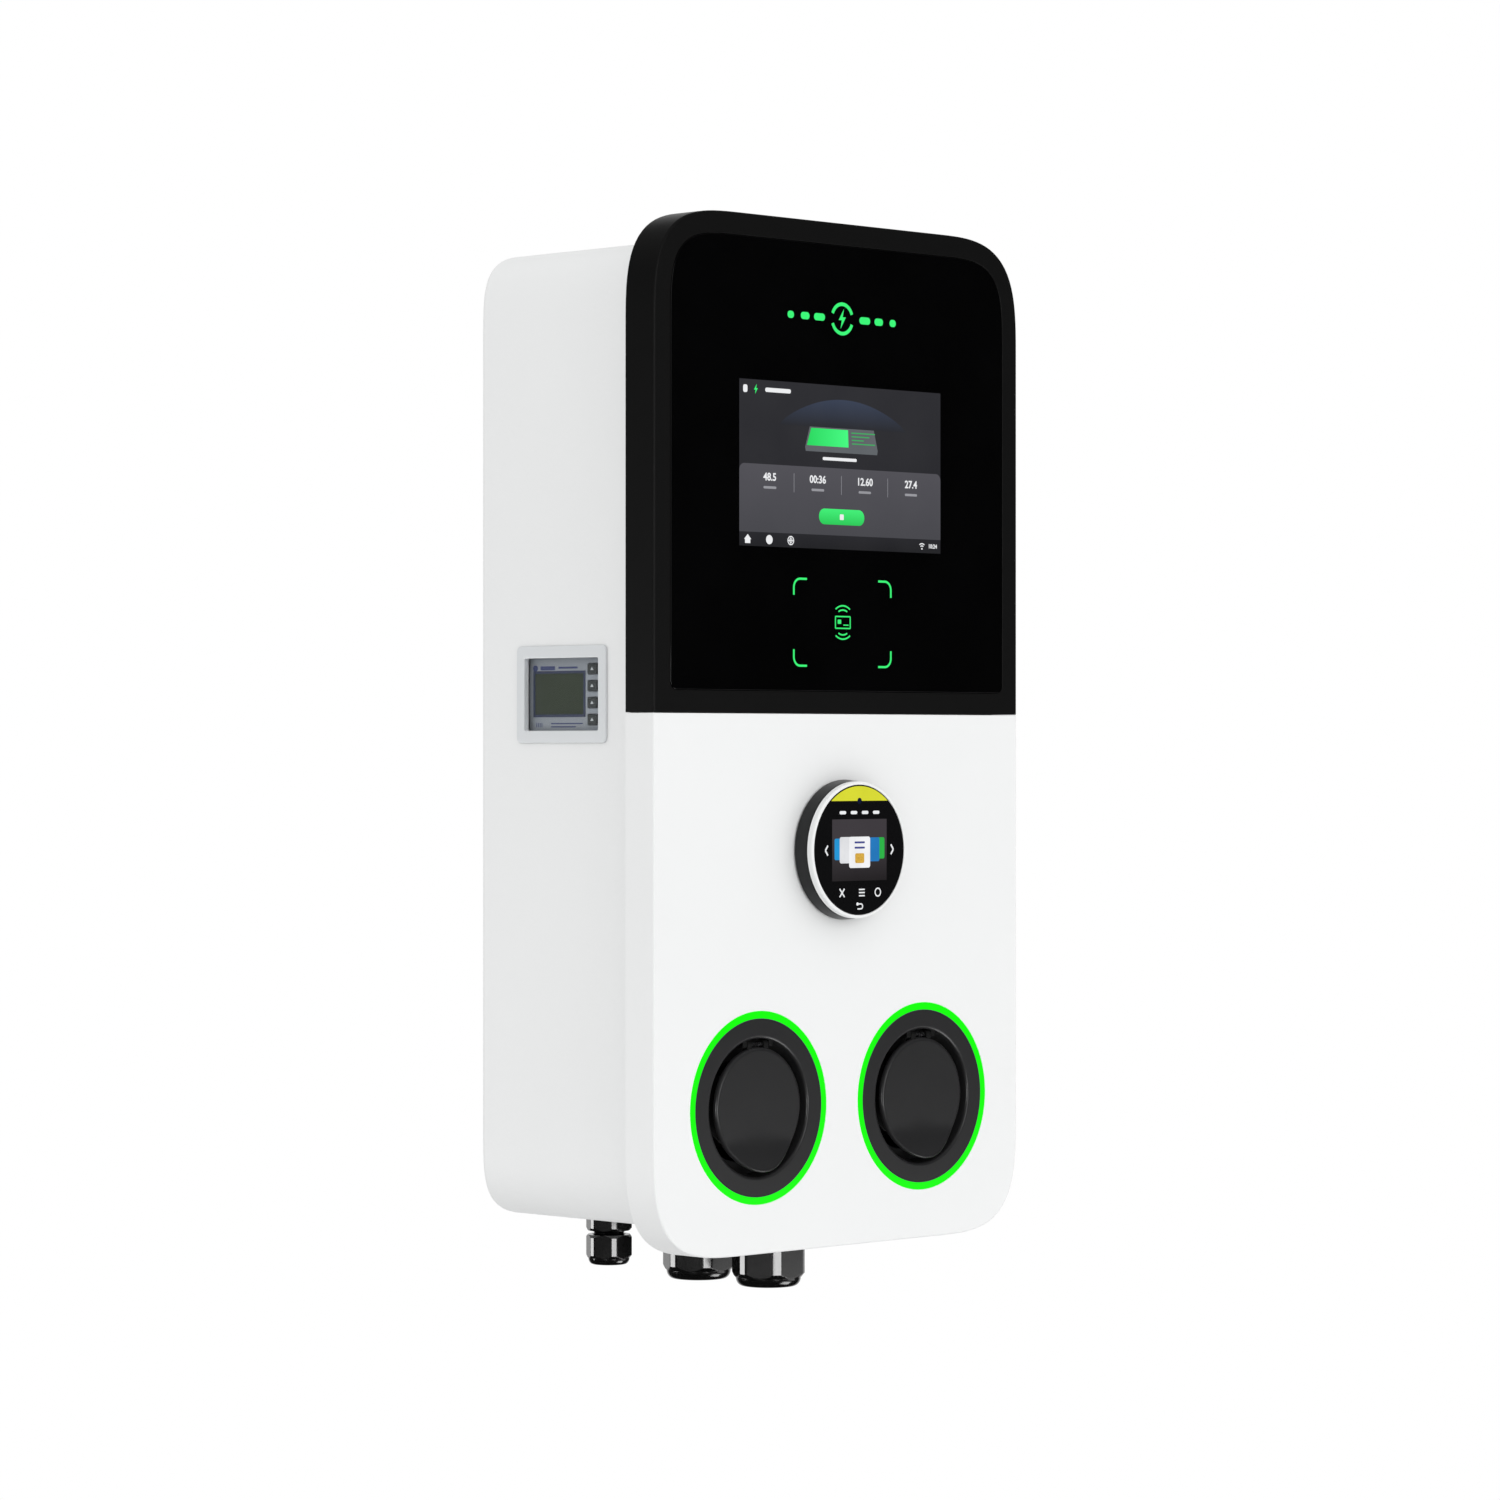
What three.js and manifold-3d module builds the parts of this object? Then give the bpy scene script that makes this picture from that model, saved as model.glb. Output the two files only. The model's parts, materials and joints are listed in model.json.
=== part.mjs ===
// Wall-mounted charging station with two vehicle sockets, built as separate solids.
// Millimetres. X runs to the right as seen from the front, Y towards the wall, Z up.
// The origin is the middle of the wall bracket's rear face, on the wall plane.
// Depths are measured from the front plane of the covers towards the wall.

import * as THREE from "three";
import { mergeVertices } from "three/addons/utils/BufferGeometryUtils.js";
import Module from "manifold-3d";

const wasm = await Module();
wasm.setup();

// ---- Driving dimensions ----

const GAP = 0.3; // clearance between pieces that meet
const FRONT = -172; // Y of the covers' front plane
const COVER_WIDTH = 320;
const COVER_HEIGHT = 624.8;
const COVER_DEPTH = 24.6;
const COVER_CORNER = 74; // length of the soft corner along each edge
const COVER_SHAPE = 3.4; // exponent of the soft corner's superellipse
const SPLIT_Z = 12.7; // joint between the upper and the lower cover
const WALL = 3;
const CORNER_STEPS = 7;

const HOUSING_INSET = 16;
const HOUSING_REAR = 170.6;
const FLANGE_FRONT = 18;
const GASKET_FRONT = 15;
const RIB_OUTER = 9.5; // inset of the sealing rib's outer side
const RIB_INNER = 12.5;

const GLASS_INSET = 13.8;
const GLASS_BOTTOM = 26.4;
const GLASS_CORNER = 5;
const GLASS_THICK = 3;
const GLASS_LEDGE = 8;
const UPPER_WALL = 5;

const SOCKET_X = 72;
const SOCKET_Z = -224.4;
const RING_OUTER = 58.1;
const RING_INNER = 53.7;
const BEZEL_OUTER = 53.4;
const BEZEL_HOLE = 41.5;
const BEZEL_EDGE = 3; // rounding of the bezel's inner edge
const BEZEL_TUBE = 16; // depth of the bezel's tube
const TURNED_STEPS = 32;

const FLAP_RADIUS = 36.3;
const FLAP_THICK = 3.2;
const LIP_DROP = 39.2; // the finger lip's reach below the socket centre
const LIP_START = 19;
const LIP_LIFT = 6.5;
const LIP_TAPER = 1.7; // exponents of the outline below the centre
const LIP_ROUND = 0.56;
const HINGE_DEPTH = 3;
const HINGE_RISE = 38.2; // height of the hinge above the socket centre
const PIN_RADIUS = 1;
const KNUCKLE_RADIUS = 2.2;

const INSERT_FACE = BEZEL_TUBE + GAP;
const RECESS_RADIUS = 33;
const RECESS_FLAT = 27; // height of the flattened top of the recess
const RECESS_FLOOR = 50;
const CORE_RADIUS = 25.5;
const CORE_FLAT = 19;
const CORE_FACE = 20;
const LOCK_DEPTH = 32;
const LOCK_RADIUS = 3;
const LOCK_PLAY = 0.4;

const TERMINAL_Z = -70.3;
const TERMINAL_RADIUS = 42.8;
const TERMINAL_PROUD = 14.8;
const TERMINAL_STEM = 28.8; // radius of the part that passes through the cover
const TERMINAL_STEM_DEPTH = 20;
const TERMINAL_SEAT = 4.6; // the ring's seat behind the terminal's front
const RING_SEAT_RADIUS = 38;
const TERMINAL_RING = { outer: 41.8, inner: 39.7, thick: 4.3 };
const TERMINAL_GLASS = { radius: 39.4, front: 0.2, rear: 1.9 };

const METER_X = 138.5; // the meter's face
const METER_DEPTH = 96;
const METER_Z = 24.2;
const METER_KEY_DEPTH = 75.1;
const METER_KEYS = 4;
const METER_KEY_PITCH = 10.2;

const RAIL_Z = -126;
const RAIL_FRONT = 160;

// Cable glands: radii of the nut's corners, thread and bore, then heights, and places in the floor.
const LARGE_GLAND = { corner: 23, thread: 16, bore: 10.5, collar: 10, nut: 26.5, dome: 5.7 };
const SMALL_GLAND = { corner: 14.5, thread: 10, bore: 5.6, collar: 10.3, nut: 14.4, dome: 4.1 };
const GLANDS = [
  { name: "supply_gland_front", x: 0, depth: 63.5, ...LARGE_GLAND },
  { name: "supply_gland_rear", x: 0, depth: 125, ...LARGE_GLAND },
  { name: "data_gland", x: -70, depth: 133.2, ...SMALL_GLAND },
];
const NECK = 2.5;

// Screws that hold the covers, in the lower cover's floor.
const SCREW_X = 96;
const SCREW_DEPTH = 9;
const SCREW_RADIUS = 2.6;
const SCREW_LENGTH = 9;
const SCREW_HEAD = { radius: 4, recess: 2.2, drive: 1.6 }; // heads lie in counterbores

// Rear housing: recess for the wall bracket, bracket, hooks and wall screw slots [x, z].
const RECESS = { halfWidth: 68, bottom: -78, top: 98, depth: 10 };
const BRACKET = { halfWidth: 62, bottom: -70, top: 90, thick: 2.5, flange: 9 };
const HOOK_X = 34;
const HOOK_Z = 70;
const HOOK_HALF = 10;
const HOOK_RISE = 11;
const HOOK_PLAY = 1.5; // room beside a hook in its opening
const SCREW_SLOTS = [[-42, 55], [42, 55], [-42, -45], [42, -45]];
const SLOT_RADIUS = 3.5;
const SLOT_HALF = 5; // half the distance between the two ends of a slot

// Display and boards behind the glass.
const DISPLAY = { halfWidth: 96, bottom: 104, top: 221, thick: 9 };
const DISPLAY_BACK = { halfWidth: 70, inset: 20, proud: 2 };
const BOARD_THICK = 1.6;
const MAIN_BOARD = { halfWidth: 90, bottom: 108, top: 217, stand: 6 };
const BOARD_POSTS = { x: [-84, 84], z: [113, 212], radius: 3 };
const PROCESSOR = { x: [-22, 22], z: [150, 194], rise: 4 };
const CAPACITORS = { x: [-70, -54, -38], z: 132, radius: 6, rise: 14 };
const CONNECTORS = { x: [34, 52, 70], halfWidth: 7, z: [116, 128], rise: 9 };
const READER = { x: [-36, 36], z: [38, 98] };
const READER_CHIP = { x: [-12, 12], z: [44, 54], rise: 5 };

// Flap hinge: arms beside the spring, notch in the bezel and its two lugs.
const KNUCKLE = { inner: 5, outer: 8.8 };
const NOTCH_HALF = 12.8;
const LUG_INNER = 9.3;
const LUG_HALF = 2; // half the hinge lug's thickness about the pin
const NOTCH_DEPTH = 10;
const SPRING = { wire: 0.3, radius: 1.45, turns: 4, length: 7.6 };

// Vehicle socket: flange, tube and the lock's place above it.
const INSERT = { flange: 46, flangeThick: 4, tube: 37.5, rear: 62, tails: 70 };
const CONTACT_DEPTH = 24;
const ACTUATOR = { halfWidth: 20, near: 24, far: 56, bottom: 38.2, top: 66 };
const LOCK_PIN = { bottom: 29, top: 51 };
const LOCK_HOLE = { bottom: 22, top: 40 };

// Contact openings of the socket: [x, z, radius] from its centre.
const CONTACTS = [
  [-8, 10.5, 2.2],
  [8, 10.5, 2.2],
  [-15, -1.5, 3.4],
  [0, -1.5, 3.4],
  [15, -1.5, 3.4],
  [-8.2, -14, 3.4],
  [8.2, -14, 3.4],
];

// Devices on the rail: overall height, depths of shoulder and nose, and places.
const RAIL_HALF = 17.5;
const RAIL_LENGTH = 246;
const RAIL_LIP = 12.5; // half the width between the rail's folded edges
const NOSE_HALF = 22.5;
const BREAKER = { centre: 83, halfWidth: 35.7, height: 85, shoulder: 44, nose: 68 };
const TOGGLE_HALF = 14;
const TOGGLE = { hub: 7, slot: 9, lever: 16, thick: 4, angle: 40 };
const CONTACTOR = { centre: 23, halfWidth: 21.7, height: 82, shoulder: 40, nose: 58 };
const CLAMPS = { x: [-15, -5, 5, 15], z: [-32, 32], radius: 3, depths: [110, 126] };
const BLOCK_POLES = 5;
const POLE_PITCH = 16;
const BLOCK = { near: 128, bottom: -216, top: -171 };
const BLOCK_ENTRY = { halfWidth: 5, depths: [138, 148], z: [-217, -201] };
const BLOCK_SCREW = { radius: 3.5, z: -191, depths: [127, 140] };
const SUPPLY = { x: [-55, 55], near: 125, z: [135, 205] };

// Energy meters, their carriers, keys and windows.
const METER = { halfDepth: 35.7, noseHalf: 22.5, bodyHalf: 45, shoulder: 119.5, carrier: 74.5 };
const KEY = { halfDepth: 4.1, halfHeight: 3.1, proud: 0.8, pocket: 2.6, clearance: 0.35 };
const WINDOW = {
  halfDepth: 36.5,
  halfHeight: 26.5,
  border: 2.9,
  proud: 1.6,
  spigotDepth: 2,
  paneHalfDepth: 32.5,
  paneHalfHeight: 21.9,
  paneStep: 0.5,
};

// ---- Materials ----

const finish = (color, roughness, metalness = 0) =>
  new THREE.MeshStandardMaterial({ color, roughness, metalness });

const white = finish(0xf2f3f3, 0.55);
const black = finish(0x121212, 0.4);
const glass = finish(0x020202, 0.06);
const socketBlack = finish(0x2b2b2c, 0.6);
const greenLight = finish(0x14ff0a, 0.5);
const steel = finish(0xb9bcc0, 0.35, 1);
const clear = finish(0xd8dcdd, 0.15);
const rubber = finish(0x1c1c1c, 0.85);
const boardGreen = finish(0x1f5a34, 0.6);
const deviceGrey = finish(0xc9cbcc, 0.5);
const darkGrey = finish(0x3a3c3e, 0.5);
const labelGrey = finish(0x858c94, 0.5);
const glandBlack = finish(0x1a1a1b, 0.35);

// ---- Shape helpers ----

const at = (depth) => FRONT + depth;

function solidOf(geometry) {
  const bare = new THREE.BufferGeometry();
  const source = geometry.index ? geometry.toNonIndexed() : geometry;
  bare.setAttribute("position", source.getAttribute("position"));
  const merged = mergeVertices(bare, 1e-4);
  const triVerts = new Uint32Array(merged.index.array);
  const vertProperties = new Float32Array(merged.attributes.position.array);
  return new wasm.Manifold(new wasm.Mesh({ numProp: 3, vertProperties, triVerts }));
}

function geometryOf(solid) {
  const { vertProperties, triVerts } = solid.getMesh();
  const geometry = new THREE.BufferGeometry();
  geometry.setAttribute("position", new THREE.BufferAttribute(vertProperties, 3));
  geometry.setIndex(new THREE.BufferAttribute(triVerts, 1));
  return geometry;
}

function join(...geometries) {
  const [first, ...rest] = geometries.map(solidOf);
  return geometryOf(rest.reduce((sum, solid) => sum.add(solid), first));
}

function cut(geometry, ...tools) {
  const start = solidOf(geometry);
  return geometryOf(tools.map(solidOf).reduce((left, tool) => left.subtract(tool), start));
}

function keep(geometry, limits) {
  return geometryOf(solidOf(geometry).intersect(solidOf(limits)));
}

// A block between two X values, two depths and two heights.
function block([x0, x1], [near, far], [z0, z1]) {
  const geometry = new THREE.BoxGeometry(x1 - x0, far - near, z1 - z0);
  return geometry.translate((x0 + x1) / 2, at((near + far) / 2), (z0 + z1) / 2);
}

// An outline drawn in X and Z, extruded between two depths.
function slab(shape, near, far) {
  const geometry = new THREE.ExtrudeGeometry(shape, { depth: far - near, bevelEnabled: false });
  return geometry.rotateX(Math.PI / 2).translate(0, at(far), 0);
}

// An outline of [depth, z] points, extruded between two X values.
function channel(points, x0, x1) {
  const shape = new THREE.Shape(points.map(([depth, z]) => new THREE.Vector2(at(depth), z)));
  const geometry = new THREE.ExtrudeGeometry(shape, { depth: x1 - x0, bevelEnabled: false });
  const axes = new THREE.Matrix4().makeBasis(
    new THREE.Vector3(0, 1, 0),
    new THREE.Vector3(0, 0, 1),
    new THREE.Vector3(1, 0, 0),
  );
  return geometry.applyMatrix4(axes).translate(x0, 0, 0);
}

// A closed profile of [radius, height] points turned about Y, with its faces pointing out.
function lathe(profile, steps) {
  const points = profile.map(([radius, height]) => new THREE.Vector2(radius, height));
  if (THREE.ShapeUtils.area(points) < 0) {
    points.reverse();
  }
  return new THREE.LatheGeometry(points, steps);
}

// A profile of [radius, depth] points turned about a line along Y through (x, z).
function turned(profile, x, z, steps = TURNED_STEPS) {
  return lathe(profile, steps).translate(x, FRONT, z);
}

// A profile of [radius, z] points turned about an upright line.
function turnedUpright(profile, x, depth, steps = 20) {
  return lathe(profile, steps).rotateX(Math.PI / 2).translate(x, at(depth), 0);
}

function rodAlongY(radius, x, z, near, far, steps = 16) {
  const geometry = new THREE.CylinderGeometry(radius, radius, far - near, steps);
  return geometry.translate(x, at((near + far) / 2), z);
}

function rodAlongX(radius, x0, x1, depth, z, steps = 16) {
  const geometry = new THREE.CylinderGeometry(radius, radius, x1 - x0, steps);
  return geometry.rotateZ(Math.PI / 2).translate((x0 + x1) / 2, at(depth), z);
}

function rodUpright(radius, x, depth, z0, z1, steps = 16) {
  const geometry = new THREE.CylinderGeometry(radius, radius, z1 - z0, steps);
  return geometry.rotateX(Math.PI / 2).translate(x, at(depth), (z0 + z1) / 2);
}

// A rectangle with soft corners; a corner is [length along the edge, superellipse exponent].
function softRectangle(halfWidth, bottom, top, topCorner, bottomCorner = topCorner) {
  const corners = [
    [1, 1, topCorner, 0],
    [-1, 1, topCorner, 1],
    [-1, -1, bottomCorner, 0],
    [1, -1, bottomCorner, 1],
  ];
  const points = [];
  for (const [sideX, sideZ, [length, exponent], reversed] of corners) {
    for (let step = 0; step <= CORNER_STEPS; step++) {
      const part = reversed ? CORNER_STEPS - step : step;
      const angle = (part / CORNER_STEPS) * (Math.PI / 2);
      const along = length * Math.abs(Math.cos(angle)) ** (2 / exponent);
      const up = length * Math.abs(Math.sin(angle)) ** (2 / exponent);
      const edgeZ = sideZ > 0 ? top : bottom;
      const x = sideX * (halfWidth - length + along);
      points.push(new THREE.Vector2(x, edgeZ + sideZ * (up - length)));
    }
  }
  return new THREE.Shape(points);
}

// The corner of the covers' outline moved inwards by the same distance all round.
function coverCorner(inset) {
  const length = COVER_CORNER - inset;
  const diagonal = COVER_CORNER * (1 - 2 ** (-1 / COVER_SHAPE)) - inset * (1 - Math.SQRT1_2);
  return [length, -Math.LN2 / Math.log(1 - diagonal / length)];
}

function coverOutline(inset) {
  const top = COVER_HEIGHT / 2 - inset;
  return softRectangle(COVER_WIDTH / 2 - inset, -top, top, coverCorner(inset));
}

// The glass panel's outline, grown or shrunk by a margin.
function glassOutline(margin) {
  const inset = GLASS_INSET - margin;
  const halfWidth = COVER_WIDTH / 2 - inset;
  const top = COVER_HEIGHT / 2 - inset;
  const lower = [GLASS_CORNER + Math.max(margin, 1 - GLASS_CORNER), 2];
  return softRectangle(halfWidth, GLASS_BOTTOM - margin, top, coverCorner(inset), lower);
}

// A hexagon with cut corners, two flats facing the front and the wall.
function nut(corner, x, depth, z0, z1) {
  const cutAngle = THREE.MathUtils.degToRad(5);
  const points = [];
  for (let side = 0; side < 6; side++) {
    for (const turn of [-cutAngle, cutAngle]) {
      const angle = (side * Math.PI) / 3 + turn;
      points.push(new THREE.Vector2(corner * Math.cos(angle), corner * Math.sin(angle)));
    }
  }
  const settings = { depth: z1 - z0, bevelEnabled: false };
  return new THREE.ExtrudeGeometry(new THREE.Shape(points), settings).translate(x, at(depth), z0);
}

class Helix extends THREE.Curve {
  constructor(radius, turns, length) {
    super();
    this.radius = radius;
    this.turns = turns;
    this.length = length;
  }
  getPoint(t, target = new THREE.Vector3()) {
    const angle = t * this.turns * 2 * Math.PI;
    return target.set(
      (t - 0.5) * this.length,
      this.radius * Math.cos(angle),
      this.radius * Math.sin(angle),
    );
  }
}

const station = new THREE.Group();
station.name = "charging_station";

function add(name, geometry, material) {
  const mesh = new THREE.Mesh(geometry, material);
  mesh.name = name;
  mesh.geometry.computeVertexNormals();
  station.add(mesh);
}

// ---- Covers, glass and gasket ----

const WIDE = 400; // larger than the object, for cutting tools

function sealingRib() {
  const ring = slab(coverOutline(RIB_OUTER), WALL - 0.5, GASKET_FRONT - GAP);
  return cut(ring, slab(coverOutline(RIB_INNER), 0, COVER_DEPTH));
}

// A cover is the part of one shell that lies between two heights.
function coverShell(bottom, top, wall, hollowBottom, hollowTop) {
  const ribFront = GASKET_FRONT - GAP;
  const outer = slab(coverOutline(0), 0, COVER_DEPTH);
  const frontHollow = keep(
    slab(coverOutline(WALL), wall, ribFront),
    block([-WIDE, WIDE], [-WIDE, WIDE], [hollowBottom, hollowTop]),
  );
  const rearHollow = slab(coverOutline(WALL), ribFront - 0.1, COVER_DEPTH + 1);
  const shell = join(cut(outer, frontHollow, rearHollow), sealingRib());
  return keep(shell, block([-WIDE, WIDE], [-WIDE, WIDE], [bottom, top]));
}

const upperShell = coverShell(SPLIT_Z + GAP / 2, WIDE, UPPER_WALL, SPLIT_Z + WALL, WIDE);
add(
  "upper_front_cover",
  cut(
    upperShell,
    slab(glassOutline(GAP), -1, GLASS_THICK + GAP),
    slab(glassOutline(-GLASS_LEDGE), -1, UPPER_WALL + 1),
  ),
  black,
);

const lowerShell = coverShell(-WIDE, SPLIT_Z - GAP / 2, WALL, -WIDE, SPLIT_Z - WALL);
const coverFloor = -COVER_HEIGHT / 2;
const lowerHoles = [
  rodAlongY(TERMINAL_STEM + 0.5, 0, TERMINAL_Z, -1, WALL + 1, TURNED_STEPS),
  ...[-1, 1].map((side) =>
    rodAlongY(RING_OUTER + GAP, side * SOCKET_X, SOCKET_Z, -1, WALL + 1, TURNED_STEPS),
  ),
  ...[
    [SCREW_RADIUS, WALL + 1],
    [SCREW_HEAD.radius + GAP, SCREW_HEAD.recess],
  ].flatMap(([radius, rise]) =>
    [-1, 1].map((side) =>
      rodUpright(radius, side * SCREW_X, SCREW_DEPTH, coverFloor - 1, coverFloor + rise, 20),
    ),
  ),
];
add("lower_front_cover", cut(lowerShell, ...lowerHoles), white);

for (const [side, label] of [[-1, "left"], [1, "right"]]) {
  const rod = (radius, z0, z1, steps) =>
    rodUpright(radius, side * SCREW_X, SCREW_DEPTH, coverFloor + z0, coverFloor + z1, steps);
  const headTop = SCREW_HEAD.recess - GAP;
  const shank = rod(SCREW_RADIUS - GAP, 1, SCREW_LENGTH, 16);
  const head = rod(SCREW_HEAD.radius, GAP, headTop, 20);
  const drive = rod(SCREW_HEAD.drive, -1, headTop - 0.7, 6);
  add("cover_screw_" + label, cut(join(shank, head), drive), steel);
}

add("display_glass", slab(glassOutline(0), 0, GLASS_THICK), glass);

add(
  "cover_gasket",
  cut(
    slab(coverOutline(RIB_OUTER - 1.5), GASKET_FRONT, FLANGE_FRONT - GAP),
    slab(coverOutline(RIB_INNER + 1.5), 0, COVER_DEPTH),
  ),
  rubber,
);

// ---- Rear housing and wall bracket ----

const housingFloor = -COVER_HEIGHT / 2 + HOUSING_INSET;
const housingSide = COVER_WIDTH / 2 - HOUSING_INSET;
const rearInside = HOUSING_REAR - WALL;
const recessFloor = HOUSING_REAR - RECESS.depth;

function housing() {
  const body = join(
    slab(coverOutline(WALL + GAP), FLANGE_FRONT, COVER_DEPTH - GAP),
    slab(coverOutline(HOUSING_INSET), FLANGE_FRONT, HOUSING_REAR),
  );
  const hollow = slab(coverOutline(HOUSING_INSET + WALL), FLANGE_FRONT - 1, rearInside);
  const recessBox = block(
    [-RECESS.halfWidth - WALL, RECESS.halfWidth + WALL],
    [recessFloor - WALL, HOUSING_REAR - 1],
    [RECESS.bottom - WALL, RECESS.top + WALL],
  );
  const carriers = [-1, 1].map((side) => {
    const edges = [side * METER.carrier, side * (METER.carrier - WALL)].sort((a, b) => a - b);
    const reach = METER.bodyHalf - 1;
    const depths = [METER_DEPTH - METER.halfDepth - GAP, rearInside + 1];
    return block(edges, depths, [METER_Z - reach, METER_Z + reach]);
  });
  const recessHole = block(
    [-RECESS.halfWidth, RECESS.halfWidth],
    [recessFloor, HOUSING_REAR + 1],
    [RECESS.bottom, RECESS.top],
  );
  const hookSlots = [-1, 1].map((side) =>
    block(
      [side * HOOK_X - HOOK_HALF - HOOK_PLAY, side * HOOK_X + HOOK_HALF + HOOK_PLAY],
      [recessFloor - WALL - 1, recessFloor + 1],
      [HOOK_Z - 2 * HOOK_PLAY, HOOK_Z + HOOK_RISE + 2],
    ),
  );
  const windows = block(
    [-WIDE, WIDE],
    [METER_DEPTH - WINDOW.halfDepth, METER_DEPTH + WINDOW.halfDepth],
    [METER_Z - WINDOW.halfHeight, METER_Z + WINDOW.halfHeight],
  );
  const windowTools = [-1, 1].map((side) => {
    const edges = [side * (housingSide - WALL - 1), side * (housingSide + 1)].sort((a, b) => a - b);
    return keep(windows, block(edges, [0, HOUSING_REAR], [-WIDE, WIDE]));
  });
  const glandHoles = GLANDS.map((gland) =>
    rodUpright(gland.thread + GAP, gland.x, gland.depth, housingFloor - 1, housingFloor + WALL + 1, 20),
  );
  const shell = join(cut(body, hollow), recessBox, ...carriers);
  return cut(shell, recessHole, ...hookSlots, ...windowTools, ...glandHoles);
}
add("rear_housing", housing(), white);

const wallDepth = -FRONT;

function bracket() {
  const { halfWidth, bottom, top, thick, flange } = BRACKET;
  const plate = block([-halfWidth, halfWidth], [wallDepth - thick, wallDepth], [bottom, top]);
  const flanges = [-1, 1].map((side) => {
    const edges = [side * halfWidth, side * (halfWidth - thick)].sort((a, b) => a - b);
    return block(edges, [wallDepth - flange, wallDepth - 1], [bottom, top]);
  });
  const hooks = [-1, 1].flatMap((side) => {
    const width = [side * HOOK_X - HOOK_HALF, side * HOOK_X + HOOK_HALF];
    return [
      block(width, [recessFloor - WALL - 4, wallDepth - 1], [HOOK_Z, HOOK_Z + thick]),
      block(width, [recessFloor - WALL - 4, recessFloor - WALL - 1.5], [HOOK_Z, HOOK_Z + HOOK_RISE]),
    ];
  });
  const slots = SCREW_SLOTS.flatMap(([x, z]) => [
    block(
      [x - SLOT_RADIUS, x + SLOT_RADIUS],
      [wallDepth - 2 * thick, wallDepth + 1],
      [z - SLOT_HALF, z + SLOT_HALF],
    ),
    rodAlongY(SLOT_RADIUS, x, z - SLOT_HALF, wallDepth - 2 * thick, wallDepth + 1),
    rodAlongY(SLOT_RADIUS, x, z + SLOT_HALF, wallDepth - 2 * thick, wallDepth + 1),
  ]);
  return cut(join(plate, ...flanges, ...hooks), ...slots);
}
add("wall_bracket", bracket(), steel);

// ---- Display and boards ----

const displayFront = GLASS_THICK + GAP;
const displayRear = displayFront + DISPLAY.thick;
const displaySpan = [-DISPLAY.halfWidth, DISPLAY.halfWidth];
add(
  "touch_display",
  join(
    block(displaySpan, [displayFront, displayRear], [DISPLAY.bottom, DISPLAY.top]),
    block(
      [-DISPLAY_BACK.halfWidth, DISPLAY_BACK.halfWidth],
      [displayRear - 1, displayRear + DISPLAY_BACK.proud],
      [DISPLAY.bottom + DISPLAY_BACK.inset, DISPLAY.top - DISPLAY_BACK.inset],
    ),
  ),
  darkGrey,
);

const boardFront = displayRear + MAIN_BOARD.stand;
const boardRear = boardFront + BOARD_THICK;
function mainBoard() {
  const { halfWidth, bottom, top } = MAIN_BOARD;
  const plate = block([-halfWidth, halfWidth], [boardFront, boardRear], [bottom, top]);
  const posts = BOARD_POSTS.x.flatMap((x) =>
    BOARD_POSTS.z.map((z) =>
      rodAlongY(BOARD_POSTS.radius, x, z, displayRear + GAP, boardFront + BOARD_THICK / 2, 12),
    ),
  );
  const seat = boardRear - BOARD_THICK / 2;
  const processor = block(PROCESSOR.x, [seat, boardRear + PROCESSOR.rise], PROCESSOR.z);
  const capacitors = CAPACITORS.x.map((x) =>
    rodAlongY(CAPACITORS.radius, x, CAPACITORS.z, seat, boardRear + CAPACITORS.rise, 12),
  );
  const connectors = CONNECTORS.x.map((x) =>
    block(
      [x - CONNECTORS.halfWidth, x + CONNECTORS.halfWidth],
      [seat, boardRear + CONNECTORS.rise],
      CONNECTORS.z,
    ),
  );
  return join(plate, ...posts, processor, ...capacitors, ...connectors);
}
add("main_board", mainBoard(), boardGreen);

add(
  "card_reader_board",
  join(
    block(READER.x, [displayFront, displayFront + BOARD_THICK], READER.z),
    block(READER_CHIP.x, [displayFront + 1, displayFront + READER_CHIP.rise], READER_CHIP.z),
  ),
  boardGreen,
);

// ---- Payment terminal ----

const terminalFace = -TERMINAL_PROUD;
const ringSeat = terminalFace + TERMINAL_SEAT;
const glassSeat = terminalFace + TERMINAL_GLASS.rear + GAP;
add(
  "terminal_body",
  turned(
    [
      [0, TERMINAL_STEM_DEPTH],
      [TERMINAL_STEM, TERMINAL_STEM_DEPTH],
      [TERMINAL_STEM, -GAP],
      [TERMINAL_RADIUS, -GAP],
      [TERMINAL_RADIUS, -2],
      [TERMINAL_RADIUS - 0.8, ringSeat],
      [RING_SEAT_RADIUS, ringSeat],
      [RING_SEAT_RADIUS, glassSeat],
      [0, glassSeat],
    ],
    0,
    TERMINAL_Z,
  ),
  black,
);

function terminalRing() {
  const { outer, inner, thick } = TERMINAL_RING;
  return turned(
    [
      [inner, terminalFace + thick],
      [outer, terminalFace + thick],
      [outer, terminalFace + 1],
      [outer - 0.6, terminalFace + 0.2],
      [outer - 1.2, terminalFace],
      [inner, terminalFace + 0.2],
      [inner, terminalFace + thick],
    ],
    0,
    TERMINAL_Z,
  );
}
add("terminal_ring", terminalRing(), white);

const terminalGlass = rodAlongY(
  TERMINAL_GLASS.radius,
  0,
  TERMINAL_Z,
  terminalFace + TERMINAL_GLASS.front,
  terminalFace + TERMINAL_GLASS.rear,
  TURNED_STEPS,
);
add("terminal_glass", terminalGlass, glass);

// ---- Charging sockets ----

// Half the flap's width at a height from its centre: round above, drawn in towards the lip.
function flapHalfWidth(height) {
  if (height > 0) {
    return Math.sqrt(FLAP_RADIUS ** 2 - height ** 2);
  }
  return FLAP_RADIUS * (1 - (-height / LIP_DROP) ** LIP_TAPER) ** LIP_ROUND;
}

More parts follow.
